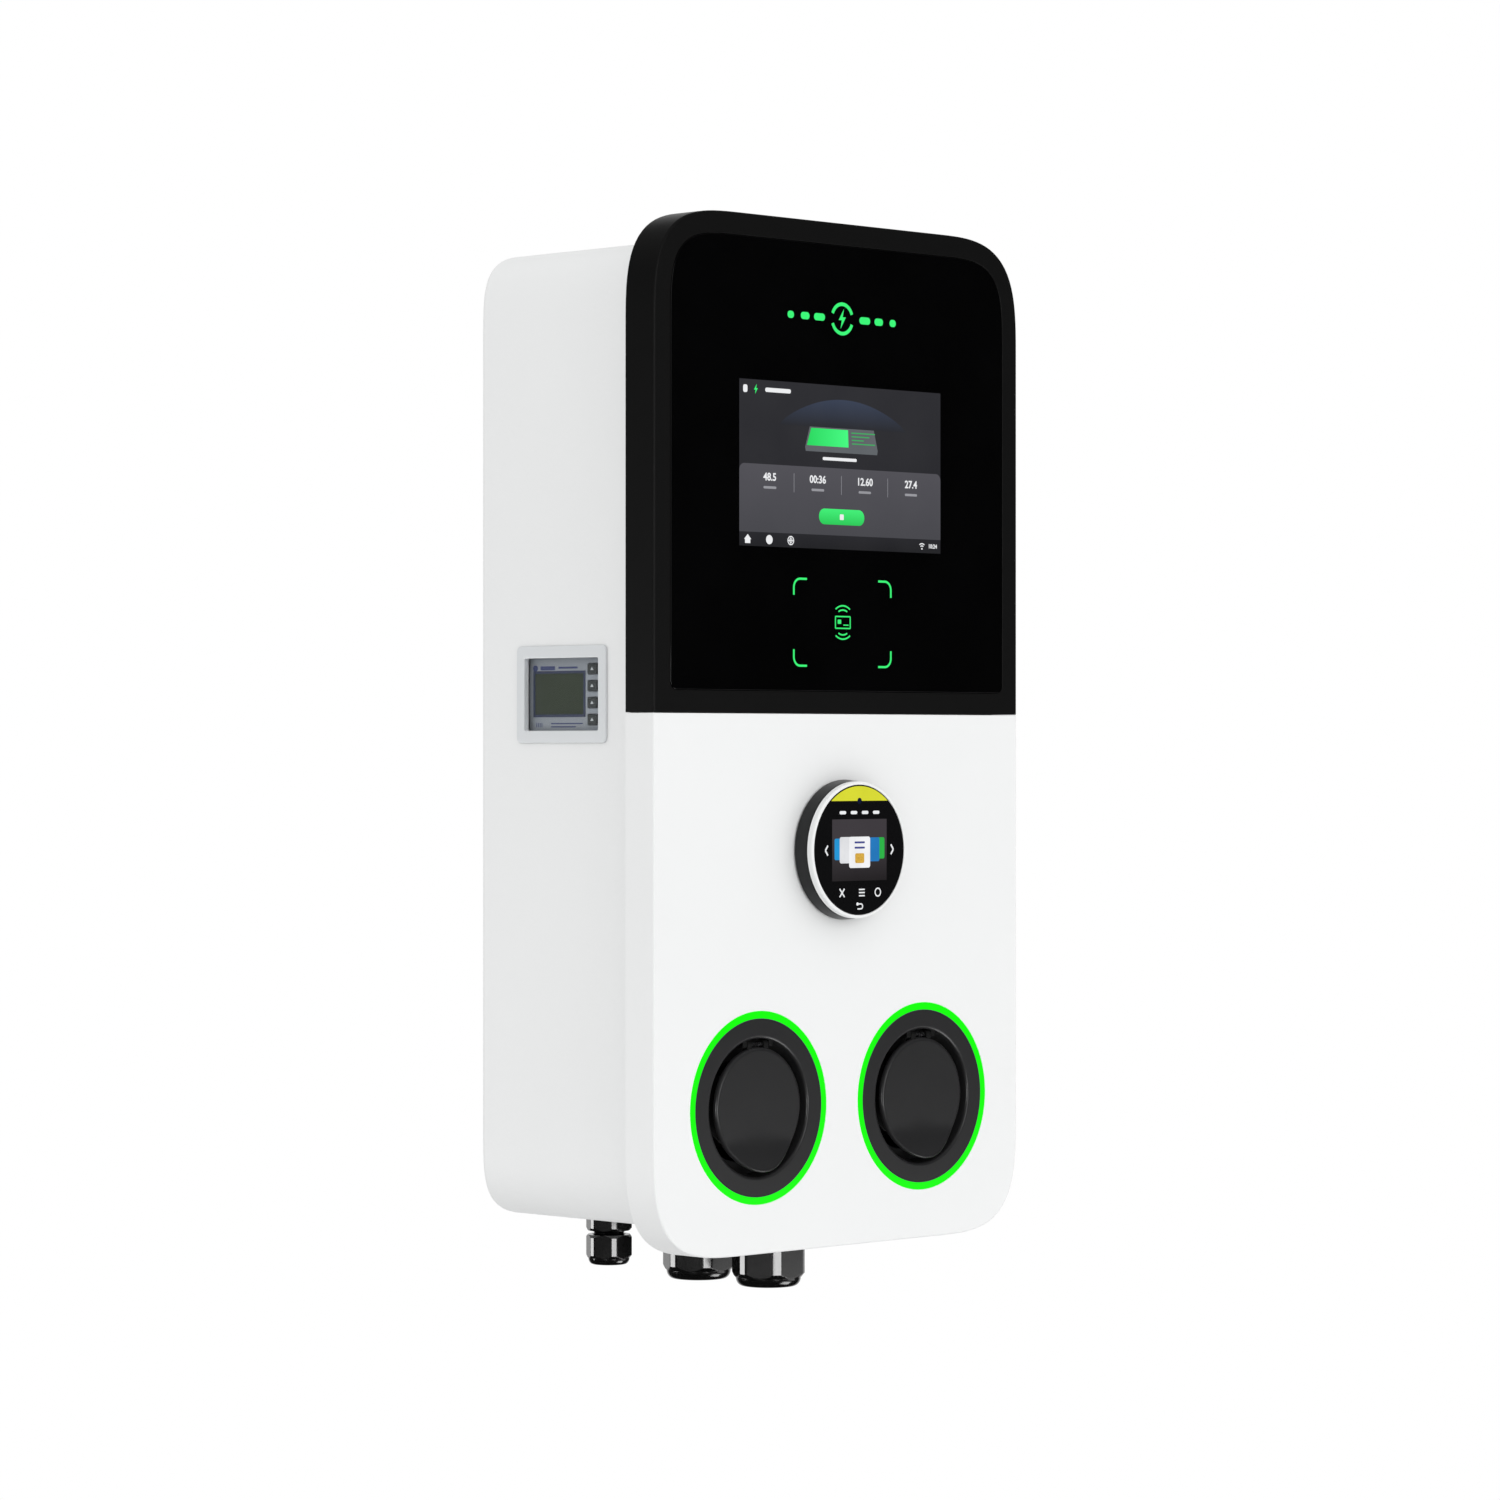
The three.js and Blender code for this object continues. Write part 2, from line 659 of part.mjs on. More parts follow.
// The closed flap: a disc whose lower edge curls forwards into a finger lip.
function flapPlate(x) {
  const rows = 20;
  const lowest = 0.06;
  const highest = 0.97;
  const front = [];
  const rear = [];
  for (let row = 0; row <= rows; row++) {
    const angle = -Math.PI / 2 + (lowest + (highest - lowest) * (row / rows)) * Math.PI;
    const reach = angle < 0 ? LIP_DROP : FLAP_RADIUS;
    const height = reach * Math.sin(angle);
    const halfWidth = flapHalfWidth(height);
    const curl = Math.max(0, -LIP_START - height) / (LIP_DROP - LIP_START);
    const depth = -LIP_LIFT * curl ** 2;
    for (const side of [-1, 1]) {
      front.push([x + side * halfWidth, at(depth), SOCKET_Z + height]);
      rear.push([x + side * halfWidth, at(depth + FLAP_THICK), SOCKET_Z + height]);
    }
  }
  const count = front.length;
  const indices = [];
  const quad = (a, b, c, d) => indices.push(a, b, c, a, c, d);
  for (let low = 0; low + 3 < count; low += 2) {
    quad(low, low + 1, low + 3, low + 2);
    quad(count + low, count + low + 2, count + low + 3, count + low + 1);
    quad(low, low + 2, count + low + 2, count + low);
    quad(low + 1, count + low + 1, count + low + 3, low + 3);
  }
  quad(0, count, count + 1, 1);
  quad(count - 2, count - 1, 2 * count - 1, 2 * count - 2);
  const geometry = new THREE.BufferGeometry();
  geometry.setAttribute("position", new THREE.Float32BufferAttribute([...front, ...rear].flat(), 3));
  geometry.setIndex(indices);
  return geometry;
}

function flap(x) {
  const hingeZ = SOCKET_Z + HINGE_RISE;
  const arms = [-1, 1].flatMap((side) => {
    const edges = [x + side * KNUCKLE.inner, x + side * KNUCKLE.outer].sort((a, b) => a - b);
    return [
      block(edges, [1.2, HINGE_DEPTH + KNUCKLE_RADIUS], [SOCKET_Z + 31, hingeZ]),
      rodAlongX(KNUCKLE_RADIUS, edges[0], edges[1], HINGE_DEPTH, hingeZ),
    ];
  });
  const bore = rodAlongX(PIN_RADIUS + 0.15, x - 20, x + 20, HINGE_DEPTH, hingeZ);
  return cut(join(flapPlate(x), ...arms), bore);
}

function bezel(x) {
  const flangeFront = WALL + GAP;
  const edge = [];
  for (let step = 0; step <= 4; step++) {
    const angle = (step / 4) * (Math.PI / 2);
    const radius = BEZEL_HOLE + BEZEL_EDGE * (1 - Math.sin(angle));
    edge.push([radius, BEZEL_EDGE * (1 - Math.cos(angle))]);
  }
  const body = turned(
    [
      ...edge,
      [BEZEL_HOLE, BEZEL_TUBE],
      [BEZEL_HOLE + WALL, BEZEL_TUBE],
      [BEZEL_HOLE + WALL, flangeFront + WALL],
      [RING_OUTER + 4, flangeFront + WALL],
      [RING_OUTER + 4, flangeFront],
      [BEZEL_OUTER, flangeFront],
      [BEZEL_OUTER, 0],
      edge[0],
    ],
    x,
    SOCKET_Z,
  );
  const hingeZ = SOCKET_Z + HINGE_RISE;
  const notch = block([x - NOTCH_HALF, x + NOTCH_HALF], [1.6, NOTCH_DEPTH], [hingeZ - 4, hingeZ + 4.8]);
  const lugs = [-1, 1].map((side) => {
    const edges = [x + side * LUG_INNER, x + side * (NOTCH_HALF + 0.5)].sort((a, b) => a - b);
    return block(edges, [HINGE_DEPTH - LUG_HALF, NOTCH_DEPTH + 1], [hingeZ - LUG_HALF, hingeZ + 5.5]);
  });
  const boreHalf = NOTCH_HALF + 0.2;
  const bore = rodAlongX(PIN_RADIUS + 0.1, x - boreHalf, x + boreHalf, HINGE_DEPTH, hingeZ);
  return cut(join(cut(body, notch), ...lugs), bore);
}

function insert(x) {
  const body = turned(
    [
      [0, INSERT.rear],
      [INSERT.tube, INSERT.rear],
      [INSERT.tube, INSERT_FACE + INSERT.flangeThick],
      [INSERT.flange, INSERT_FACE + INSERT.flangeThick],
      [INSERT.flange, INSERT_FACE],
      [0, INSERT_FACE],
    ],
    x,
    SOCKET_Z,
  );
  const flatTop = (height) =>
    block([x - WIDE, x + WIDE], [0, WIDE], [SOCKET_Z - WIDE, SOCKET_Z + height]);
  const recess = keep(
    rodAlongY(RECESS_RADIUS, x, SOCKET_Z, INSERT_FACE - 1, RECESS_FLOOR, TURNED_STEPS),
    flatTop(RECESS_FLAT),
  );
  const core = keep(
    rodAlongY(CORE_RADIUS, x, SOCKET_Z, CORE_FACE, RECESS_FLOOR + 1, TURNED_STEPS),
    flatTop(CORE_FLAT),
  );
  const holes = CONTACTS.map(([dx, dz, radius]) =>
    rodAlongY(radius, x + dx, SOCKET_Z + dz, CORE_FACE - 1, CORE_FACE + CONTACT_DEPTH, 8),
  );
  const tails = CONTACTS.map(([dx, dz, radius]) =>
    rodAlongY(radius, x + dx, SOCKET_Z + dz, INSERT.rear - 1, INSERT.tails, 8),
  );
  const heights = [SOCKET_Z + LOCK_HOLE.bottom, SOCKET_Z + LOCK_HOLE.top];
  const lockHole = rodUpright(LOCK_RADIUS + LOCK_PLAY, x, LOCK_DEPTH, ...heights);
  return cut(join(cut(body, recess), core, ...tails), ...holes, lockHole);
}

for (const [side, label] of [[-1, "left"], [1, "right"]]) {
  const x = side * SOCKET_X;
  const hingeZ = SOCKET_Z + HINGE_RISE;
  add("socket_bezel_" + label, bezel(x), socketBlack);
  add(
    "light_ring_" + label,
    turned(
      [
        [RING_INNER, 0],
        [RING_INNER, WALL],
        [RING_OUTER, WALL],
        [RING_OUTER, 0],
        [RING_INNER, 0],
      ],
      x,
      SOCKET_Z,
      40,
    ),
    greenLight,
  );
  add("socket_flap_" + label, flap(x), socketBlack);
  const pinEnd = NOTCH_HALF - 0.1;
  const pin = rodAlongX(PIN_RADIUS, x - pinEnd, x + pinEnd, HINGE_DEPTH, hingeZ);
  add("flap_hinge_pin_" + label, pin, steel);

  const wire = new THREE.Shape().absarc(0, 0, SPRING.wire, 0, 2 * Math.PI);
  const spring = new THREE.ExtrudeGeometry(wire, {
    extrudePath: new Helix(SPRING.radius, SPRING.turns, SPRING.length),
    steps: 32,
    curveSegments: 3,
    bevelEnabled: false,
  });
  add("flap_spring_" + label, spring.translate(x, at(HINGE_DEPTH), hingeZ), steel);

  add("socket_insert_" + label, insert(x), socketBlack);
  const { halfWidth, near, far, bottom, top } = ACTUATOR;
  const heights = [SOCKET_Z + bottom, SOCKET_Z + top];
  const motorBox = block([x - halfWidth, x + halfWidth], [near, far], heights);
  const boreHeights = [SOCKET_Z + bottom - 1, SOCKET_Z + LOCK_PIN.top + WALL];
  const pinBore = rodUpright(LOCK_RADIUS + LOCK_PLAY, x, LOCK_DEPTH, ...boreHeights);
  add("lock_actuator_" + label, cut(motorBox, pinBore), darkGrey);
  const pinHeights = [SOCKET_Z + LOCK_PIN.bottom, SOCKET_Z + LOCK_PIN.top];
  add("lock_pin_" + label, rodUpright(LOCK_RADIUS, x, LOCK_DEPTH, ...pinHeights), steel);
}

// ---- Power devices on the rail ----

function railProfile() {
  const rear = rearInside - GAP;
  const upper = [
    [rear, RAIL_LIP],
    [RAIL_FRONT + 1, RAIL_LIP],
    [RAIL_FRONT + 1, RAIL_HALF],
    [RAIL_FRONT, RAIL_HALF],
    [RAIL_FRONT, RAIL_LIP - 1],
    [rear - 1, RAIL_LIP - 1],
  ];
  const lower = upper.map(([depth, z]) => [depth, -z]).reverse();
  return [...upper, ...lower].map(([depth, z]) => [depth, RAIL_Z + z]);
}
add("din_rail", channel(railProfile(), -RAIL_LENGTH / 2, RAIL_LENGTH / 2), steel);

// The stepped side profile that rail-mounted devices share.
function deviceProfile({ height, shoulder, nose }) {
  const back = RAIL_FRONT - GAP;
  const half = height / 2;
  return [
    [back, -half],
    [back, half],
    [back - shoulder, half],
    [back - shoulder, NOSE_HALF],
    [back - nose, NOSE_HALF],
    [back - nose, -NOSE_HALF],
    [back - shoulder, -NOSE_HALF],
    [back - shoulder, -half],
  ].map(([depth, z]) => [depth, RAIL_Z + z]);
}

function railDevice(size, x) {
  return channel(deviceProfile(size), x - size.halfWidth, x + size.halfWidth);
}

const TOGGLE_DEPTH = RAIL_FRONT - GAP - BREAKER.nose + 5;
for (const [side, label] of [[-1, "left"], [1, "right"]]) {
  const breakerX = side * BREAKER.centre;
  const axle = (radius, half) =>
    rodAlongX(radius, breakerX - half, breakerX + half, TOGGLE_DEPTH, RAIL_Z, 24);
  const slot = axle(TOGGLE.slot, TOGGLE_HALF + 1);
  add("residual_breaker_" + label, cut(railDevice(BREAKER, breakerX), slot), deviceGrey);

  const lever = new THREE.BoxGeometry(2 * TOGGLE_HALF, TOGGLE.lever, TOGGLE.thick)
    .translate(0, -TOGGLE.lever / 2, 0)
    .rotateX(-THREE.MathUtils.degToRad(TOGGLE.angle))
    .translate(breakerX, at(TOGGLE_DEPTH), RAIL_Z);
  add("breaker_toggle_" + label, join(axle(TOGGLE.hub, TOGGLE_HALF), lever), darkGrey);

  const contactorX = side * CONTACTOR.centre;
  const clamps = CLAMPS.x.flatMap((dx) =>
    CLAMPS.z.map((dz) =>
      rodAlongY(CLAMPS.radius, contactorX + dx, RAIL_Z + dz, ...CLAMPS.depths, 10),
    ),
  );
  add("contactor_" + label, cut(railDevice(CONTACTOR, contactorX), ...clamps), darkGrey);
}

const blockHalf = (BLOCK_POLES * POLE_PITCH) / 2;
const poles = Array.from({ length: BLOCK_POLES }, (_, pole) => (pole + 0.5) * POLE_PITCH - blockHalf);
add(
  "terminal_block",
  cut(
    block([-blockHalf, blockHalf], [BLOCK.near, rearInside - GAP], [BLOCK.bottom, BLOCK.top]),
    ...poles.map((x) =>
      block(
        [x - BLOCK_ENTRY.halfWidth, x + BLOCK_ENTRY.halfWidth],
        BLOCK_ENTRY.depths,
        BLOCK_ENTRY.z,
      ),
    ),
    ...poles.map((x) =>
      rodAlongY(BLOCK_SCREW.radius, x, BLOCK_SCREW.z, ...BLOCK_SCREW.depths, 12),
    ),
  ),
  deviceGrey,
);

add("power_supply", block(SUPPLY.x, [SUPPLY.near, rearInside - GAP], SUPPLY.z), deviceGrey);

// ---- Energy meters behind the side windows ----

const keyRise = (index) => METER_Z + (index - (METER_KEYS - 1) / 2) * METER_KEY_PITCH;

for (const [side, label] of [[-1, "left"], [1, "right"]]) {
  const across = (outer, inner) => [side * outer, side * inner].sort((a, b) => a - b);
  const { halfDepth: meterHalf, noseHalf, bodyHalf, shoulder, carrier } = METER;
  const depths = [METER_DEPTH - meterHalf, METER_DEPTH + meterHalf];
  const nose = block(across(METER_X, shoulder - 1.5), depths, [METER_Z - noseHalf, METER_Z + noseHalf]);
  const body = block(across(shoulder, carrier + GAP), depths, [METER_Z - bodyHalf, METER_Z + bodyHalf]);
  const pockets = Array.from({ length: METER_KEYS }, (_, index) => {
    const reach = KEY.halfDepth + KEY.clearance;
    const rise = KEY.halfHeight + KEY.clearance;
    return block(
      across(METER_X + 1, METER_X - KEY.pocket),
      [METER_KEY_DEPTH - reach, METER_KEY_DEPTH + reach],
      [keyRise(index) - rise, keyRise(index) + rise],
    );
  });
  add("energy_meter_" + label, cut(join(nose, body), ...pockets), labelGrey);

  for (let index = 0; index < METER_KEYS; index++) {
    add(
      "meter_key_" + label + "_" + (index + 1),
      block(
        across(METER_X + KEY.proud, METER_X - KEY.pocket + 1),
        [METER_KEY_DEPTH - KEY.halfDepth, METER_KEY_DEPTH + KEY.halfDepth],
        [keyRise(index) - KEY.halfHeight, keyRise(index) + KEY.halfHeight],
      ),
      darkGrey,
    );
  }

  const windowPlate = (outer, inner, halfDepth, halfHeight) =>
    block(
      across(outer, inner),
      [METER_DEPTH - halfDepth, METER_DEPTH + halfDepth],
      [METER_Z - halfHeight, METER_Z + halfHeight],
    );
  const { halfDepth, halfHeight, border, proud, spigotDepth } = WINDOW;
  const frame = windowPlate(
    housingSide + proud,
    housingSide + GAP,
    halfDepth + border,
    halfHeight + border,
  );
  const spigot = windowPlate(
    housingSide + proud / 2,
    housingSide - spigotDepth,
    halfDepth - 0.5,
    halfHeight - 0.5,
  );
  const pane = windowPlate(
    housingSide + proud + 1,
    housingSide + proud - WINDOW.paneStep,
    WINDOW.paneHalfDepth,
    WINDOW.paneHalfHeight,
  );
  add("meter_window_" + label, cut(join(frame, spigot), pane), clear);
}

// ---- Cable glands in the housing floor ----

for (const { name, x, depth, corner, thread, bore, collar, nut: nutHeight, dome } of GLANDS) {
  const collarTop = housingFloor - GAP;
  const collarEnd = collarTop - collar;
  const nutTop = collarEnd - NECK;
  const nutEnd = nutTop - nutHeight;
  const domeEnd = nutEnd - dome;
  const stem = thread * 0.94;
  const tube = (inner, outer, z0, z1) =>
    turnedUpright([[inner, z0], [outer, z0], [outer, z1], [inner, z1], [inner, z0]], x, depth);

  const hex = cut(
    nut(corner, x, depth, collarEnd, collarTop),
    rodUpright(bore + 1, x, depth, collarEnd - 1, collarTop + 1, 20),
  );
  const threaded = tube(bore, thread, collarTop - 1, housingFloor + 14);
  const lowerStem = tube(bore, stem, nutEnd + 1, collarTop - 0.5);
  add(name + "_body", join(hex, threaded, lowerStem), glandBlack);

  const shell = join(
    nut(corner, x, depth, nutEnd, nutTop),
    turnedUpright(
      [
        [0, nutEnd + 0.5],
        [corner * 0.9, nutEnd + 0.5],
        [corner * 0.9, nutEnd - dome * 0.35],
        [corner * 0.84, nutEnd - dome * 0.8],
        [corner * 0.72, domeEnd],
        [0, domeEnd],
      ],
      x,
      depth,
    ),
  );
  add(
    name + "_nut",
    cut(
      shell,
      rodUpright(stem + GAP, x, depth, nutEnd + 1 - GAP, nutTop + 1, 20),
      rodUpright(bore, x, depth, domeEnd - 1, nutTop, 20),
    ),
    glandBlack,
  );

  add(
    name + "_lock_nut",
    cut(
      nut(corner * 0.97, x, depth, housingFloor + WALL + GAP, housingFloor + WALL + 6),
      rodUpright(thread + GAP, x, depth, housingFloor, housingFloor + 20, 20),
    ),
    glandBlack,
  );
}

export default station;
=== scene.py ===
import json
import math

import bmesh
import bpy
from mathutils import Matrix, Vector
from mathutils.geometry import tessellate_polygon


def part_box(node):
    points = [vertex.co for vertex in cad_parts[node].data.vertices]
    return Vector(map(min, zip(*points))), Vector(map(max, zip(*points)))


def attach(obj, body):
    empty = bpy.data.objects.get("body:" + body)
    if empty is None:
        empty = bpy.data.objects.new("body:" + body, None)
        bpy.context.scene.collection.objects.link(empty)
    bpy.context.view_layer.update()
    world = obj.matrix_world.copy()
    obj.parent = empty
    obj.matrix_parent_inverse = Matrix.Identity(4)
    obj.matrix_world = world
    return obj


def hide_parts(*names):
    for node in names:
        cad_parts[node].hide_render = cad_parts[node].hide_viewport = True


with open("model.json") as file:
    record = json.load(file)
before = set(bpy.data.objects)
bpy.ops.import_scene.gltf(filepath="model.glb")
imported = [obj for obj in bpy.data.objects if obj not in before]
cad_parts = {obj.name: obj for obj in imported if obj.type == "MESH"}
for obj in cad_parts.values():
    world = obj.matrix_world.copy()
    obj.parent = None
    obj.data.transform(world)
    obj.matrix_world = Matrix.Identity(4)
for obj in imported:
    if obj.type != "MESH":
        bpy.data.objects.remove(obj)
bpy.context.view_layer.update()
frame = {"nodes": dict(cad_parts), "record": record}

# Wall-mounted charging station with two vehicle sockets: fine meshes, materials, light and camera.
# Shapes are worked out in millimetres and turned into metres when a mesh is made. X runs to the
# right, Y towards the wall, Z up. A depth is measured from the covers' front plane to the wall.

MM = 0.001
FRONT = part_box("display_glass")[0].y / MM  # Y of the covers' front plane
STATION = "station"
SIDES = ((-1, "left"), (1, "right"))

# ---- Sizes shared with the CAD model ----


def extent(node):
    """Lowest and highest corner of a CAD node in millimetres."""
    low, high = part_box(node)
    return low / MM, high / MM


def middle(node):
    low, high = extent(node)
    return (low + high) / 2


cover_low, cover_high = extent("upper_front_cover")
COVER_HALF = cover_high.x
COVER_TOP = cover_high.z
COVER_BOTTOM = extent("lower_front_cover")[0].z
COVER_DEPTH = cover_high.y - FRONT
UPPER_EDGE = cover_low.z
LOWER_EDGE = extent("lower_front_cover")[1].z
CORNER = 74  # length of the covers' soft corner along each edge
CORNER_SHAPE = 3.4  # exponent of that corner's superellipse
COVER_ROUND = 1.2
WALL = 3
GAP = 0.3

HOUSING_REAR = extent("rear_housing")[1].y - FRONT
FLANGE_FRONT = extent("rear_housing")[0].y - FRONT
REAR_ROUND = 5
RECESS_HALF = 68
RECESS_BOTTOM = -78
RECESS_TOP = 98
RECESS_DEPTH = 10

GLASS_BOTTOM = extent("display_glass")[0].z
GLASS_INSET = COVER_HALF - extent("display_glass")[1].x
GLASS_CORNER = 5
GLASS_THICK = 3

SOCKET_X = middle("light_ring_right").x
SOCKET_Z = middle("light_ring_right").z
RING_OUTER = extent("light_ring_right")[1].x - SOCKET_X
RING_INNER = 53.7
BEZEL_OUTER = 53.4
BEZEL_HOLE = 41.5
BEZEL_TUBE = 16
HINGE_DEPTH = middle("flap_hinge_pin_left").y - FRONT
HINGE_RISE = middle("flap_hinge_pin_left").z - SOCKET_Z
FLAP_RADIUS = 36.3
LIP_DROP = 38.5
LIP_START = 19
LIP_LIFT = 6.5
LIP_TAPER = 1.75  # exponents of the flap's outline below its centre
LIP_ROUND = 0.51

TERMINAL_Z = middle("terminal_ring").z
TERMINAL_RADIUS = extent("terminal_body")[1].x
TERMINAL_FACE = extent("terminal_ring")[0].y - FRONT

METER_X = extent("energy_meter_right")[1].x
METER_DEPTH = middle("meter_window_right").y - FRONT
METER_Z = middle("meter_window_right").z
WINDOW_HALF_DEPTH = (extent("meter_window_right")[1].y - extent("meter_window_right")[0].y) / 2
WINDOW_HALF_HEIGHT = (extent("meter_window_right")[1].z - extent("meter_window_right")[0].z) / 2
WINDOW_FACE = extent("meter_window_right")[1].x
HOUSING_SIDE = WINDOW_FACE - 1.6

CORNER_STEPS = 30
TIGHT = (0.4, 2)  # the small corner where a cover meets the other one
SEAM_SHARE = 0.2  # the seam edge is rounded less than the outer edge
GLANDS = ("supply_gland_front", "supply_gland_rear", "data_gland")
# Each contact of a socket: across and up from its middle, and radius.
CONTACTS = ((-8, 10.5, 2.2), (8, 10.5, 2.2), (-15, -1.5, 3.4), (0, -1.5, 3.4), (15, -1.5, 3.4),
            (-8.2, -14, 3.4), (8.2, -14, 3.4))
# The lit screen's edges on the black glass.
SCREEN = {"left": -89, "right": 88.5, "bottom": 113, "top": 213}
# Half sizes of the meter's face.
FACE_HALF_DEPTH = 32.5
FACE_HALF_HEIGHT = 21.9
MOUNT_HEIGHT = 1.25  # metres from the floor to the bracket's middle
GLAND_CUT_SLOPE = 1.3  # height of a gland's cut corner for each millimetre it is cut back
GLAND_CUT_REACH = 1.02  # a little past the corner, so that the cut ends cleanly

# The slots in the housing's rear recess for the bracket's hooks.
HOOK_SLOT_X = 34
HOOK_SLOT_HALF = 11.5
HOOK_SLOT_BOTTOM = 67
HOOK_SLOT_TOP = 83

# The hole in the housing's side behind a meter window.
SIDE_HOLE_HALF_DEPTH = 36.5
SIDE_HOLE_HALF_HEIGHT = 26.5

# A vehicle socket: radii of its flange and body, depth of its rear end, and for its recess
# and its core the radius and the height of the flat top.
SOCKET_FLANGE = 46
SOCKET_BODY = 37.5
SOCKET_REAR = 62
SOCKET_RECESS = (33, 27)
SOCKET_CORE = (25.5, 19)

# ---- Camera ----

camera_data = bpy.data.cameras.new("camera")
camera = bpy.data.objects.new("camera", camera_data)
bpy.context.scene.collection.objects.link(camera)
camera_data.sensor_width = 36
camera_data.lens = 117.24
camera_data.clip_end = 50
camera.location = (-2.15659, -2.23717, -0.00944)
camera.rotation_euler = (math.radians(90), 0, math.radians(-45.159))
bpy.context.scene.camera = camera

# ---- Colours and materials ----


def screen_colour(red, green, blue):
    """A linear colour from the 0 to 255 values that a screen shows."""
    def linear(value):
        part = value / 255
        return part / 12.92 if part <= 0.04045 else ((part + 0.055) / 1.055) ** 2.4
    return (linear(red), linear(green), linear(blue), 1)


def scaled(colour, factor):
    return (*[min(1, channel * factor) for channel in colour[:3]], 1)


class Surface:
    """A node material with a Principled shader and a few helpers for procedural detail."""

    def __init__(self, name, roughness, metallic=0.0, specular=0.5):
        self.material = bpy.data.materials.new(name)
        self.material.use_nodes = True
        self.tree = self.material.node_tree
        self.shader = self.tree.nodes["Principled BSDF"]
        self.shader.inputs["Roughness"].default_value = roughness
        self.shader.inputs["Metallic"].default_value = metallic
        self.shader.inputs["Specular IOR Level"].default_value = specular
        self.place = self.node("ShaderNodeTexCoord").outputs["Object"]

    def node(self, kind, **inputs):
        made = self.tree.nodes.new(kind)
        for label, value in inputs.items():
            made.inputs[label].default_value = value
        return made

    def link(self, source, target):
        self.tree.links.new(source, target)

    def noise(self, scale, detail=3.0):
        made = self.node("ShaderNodeTexNoise", Scale=scale, Detail=detail)
        self.link(self.place, made.inputs["Vector"])
        return made.outputs["Fac"]

    def cells(self, scale, feature="F1"):
        made = self.node("ShaderNodeTexVoronoi", Scale=scale)
        made.feature = feature
        self.link(self.place, made.inputs["Vector"])
        return made

    def ramp(self, factor, low, high, start=0.3, end=0.7):
        made = self.node("ShaderNodeValToRGB")
        made.color_ramp.elements[0].position = start
        made.color_ramp.elements[1].position = end
        made.color_ramp.elements[0].color = low
        made.color_ramp.elements[1].color = high
        self.link(factor, made.inputs["Fac"])
        return made.outputs["Color"]

    def vary(self, colour, spread, scale):
        """The base colour drifts a little around its mean over the surface."""
        pattern = self.noise(scale, 4.0)
        mixed = self.ramp(pattern, scaled(colour, 1 - spread), scaled(colour, 1 + spread))
        self.link(mixed, self.shader.inputs["Base Color"])
        return mixed

    def wear(self, roughness, spread, scale):
        made = self.node("ShaderNodeMapRange")
        made.inputs["To Min"].default_value = max(0, roughness - spread)
        made.inputs["To Max"].default_value = roughness + spread
        self.link(self.noise(scale), made.inputs["Value"])
        self.link(made.outputs["Result"], self.shader.inputs["Roughness"])

    def bump(self, height, depth, strength=1.0):
        made = self.node("ShaderNodeBump", Strength=strength, Distance=depth)
        self.link(height, made.inputs["Height"])
        self.link(made.outputs["Normal"], self.shader.inputs["Normal"])


def moulded(name, colour, roughness, grain, depth, specular=0.5, spread=0.03):
    """Moulded plastic: fine grain in the surface, slight drift in colour and gloss."""
    surface = Surface(name, roughness, specular=specular)
    surface.vary(colour, spread, 9)
    surface.wear(roughness, 0.03, 60)
    surface.bump(surface.noise(grain, 2.0), depth)
    return surface.material


def coated(name, colour):
    """Powder coat: the shallow waves of orange peel."""
    surface = Surface(name, 0.5, specular=0.35)
    surface.vary(colour, 0.008, 5)
    surface.wear(0.5, 0.04, 30)
    surface.bump(surface.noise(420, 1.0), 0.00006)
    return surface.material


def brushed(name, colour, roughness):
    """Turned or drawn steel with faint streaks."""
    surface = Surface(name, roughness, metallic=1)
    surface.vary(colour, 0.06, 160)
    surface.wear(roughness, 0.08, 700)
    surface.bump(surface.noise(1500, 1.0), 0.00001)
    return surface.material


def galvanised(name):
    """Zinc coat with the spangle of its crystals."""
    surface = Surface(name, 0.42, metallic=1)
    spangle = surface.cells(170).outputs["Color"]
    shade = surface.ramp(spangle, (0.5, 0.52, 0.54, 1), (0.6, 0.62, 0.64, 1), 0.1, 0.9)
    surface.link(shade, surface.shader.inputs["Base Color"])
    surface.wear(0.42, 0.12, 70)
    return surface.material


def rubber(name):
    surface = Surface(name, 0.8, specular=0.25)
    surface.vary((0.012, 0.012, 0.012, 1), 0.2, 120)
    surface.bump(surface.noise(1800, 2.0), 0.00003)
    return surface.material


def gloss_black(name):
    """Back-printed glass: deep black under a polished face."""
    surface = Surface(name, 0.04, specular=0.32)
    surface.vary((0.0008, 0.0008, 0.0009, 1), 0.3, 20)
    surface.wear(0.04, 0.012, 14)
    return surface.material


def circuit_green(name):
    """Solder mask over copper tracks."""
    surface = Surface(name, 0.35)
    tracks = surface.node("ShaderNodeTexBrick", Scale=190)
    tracks.inputs["Mortar Size"].default_value = 0.045
    tracks.inputs["Color1"].default_value = (0.006, 0.07, 0.022, 1)
    tracks.inputs["Color2"].default_value = (0.009, 0.1, 0.03, 1)
    tracks.inputs["Mortar"].default_value = (0.03, 0.2, 0.05, 1)
    surface.link(surface.place, tracks.inputs["Vector"])
    surface.link(tracks.outputs["Color"], surface.shader.inputs["Base Color"])
    surface.bump(tracks.outputs["Fac"], 0.00005)
    return surface.material


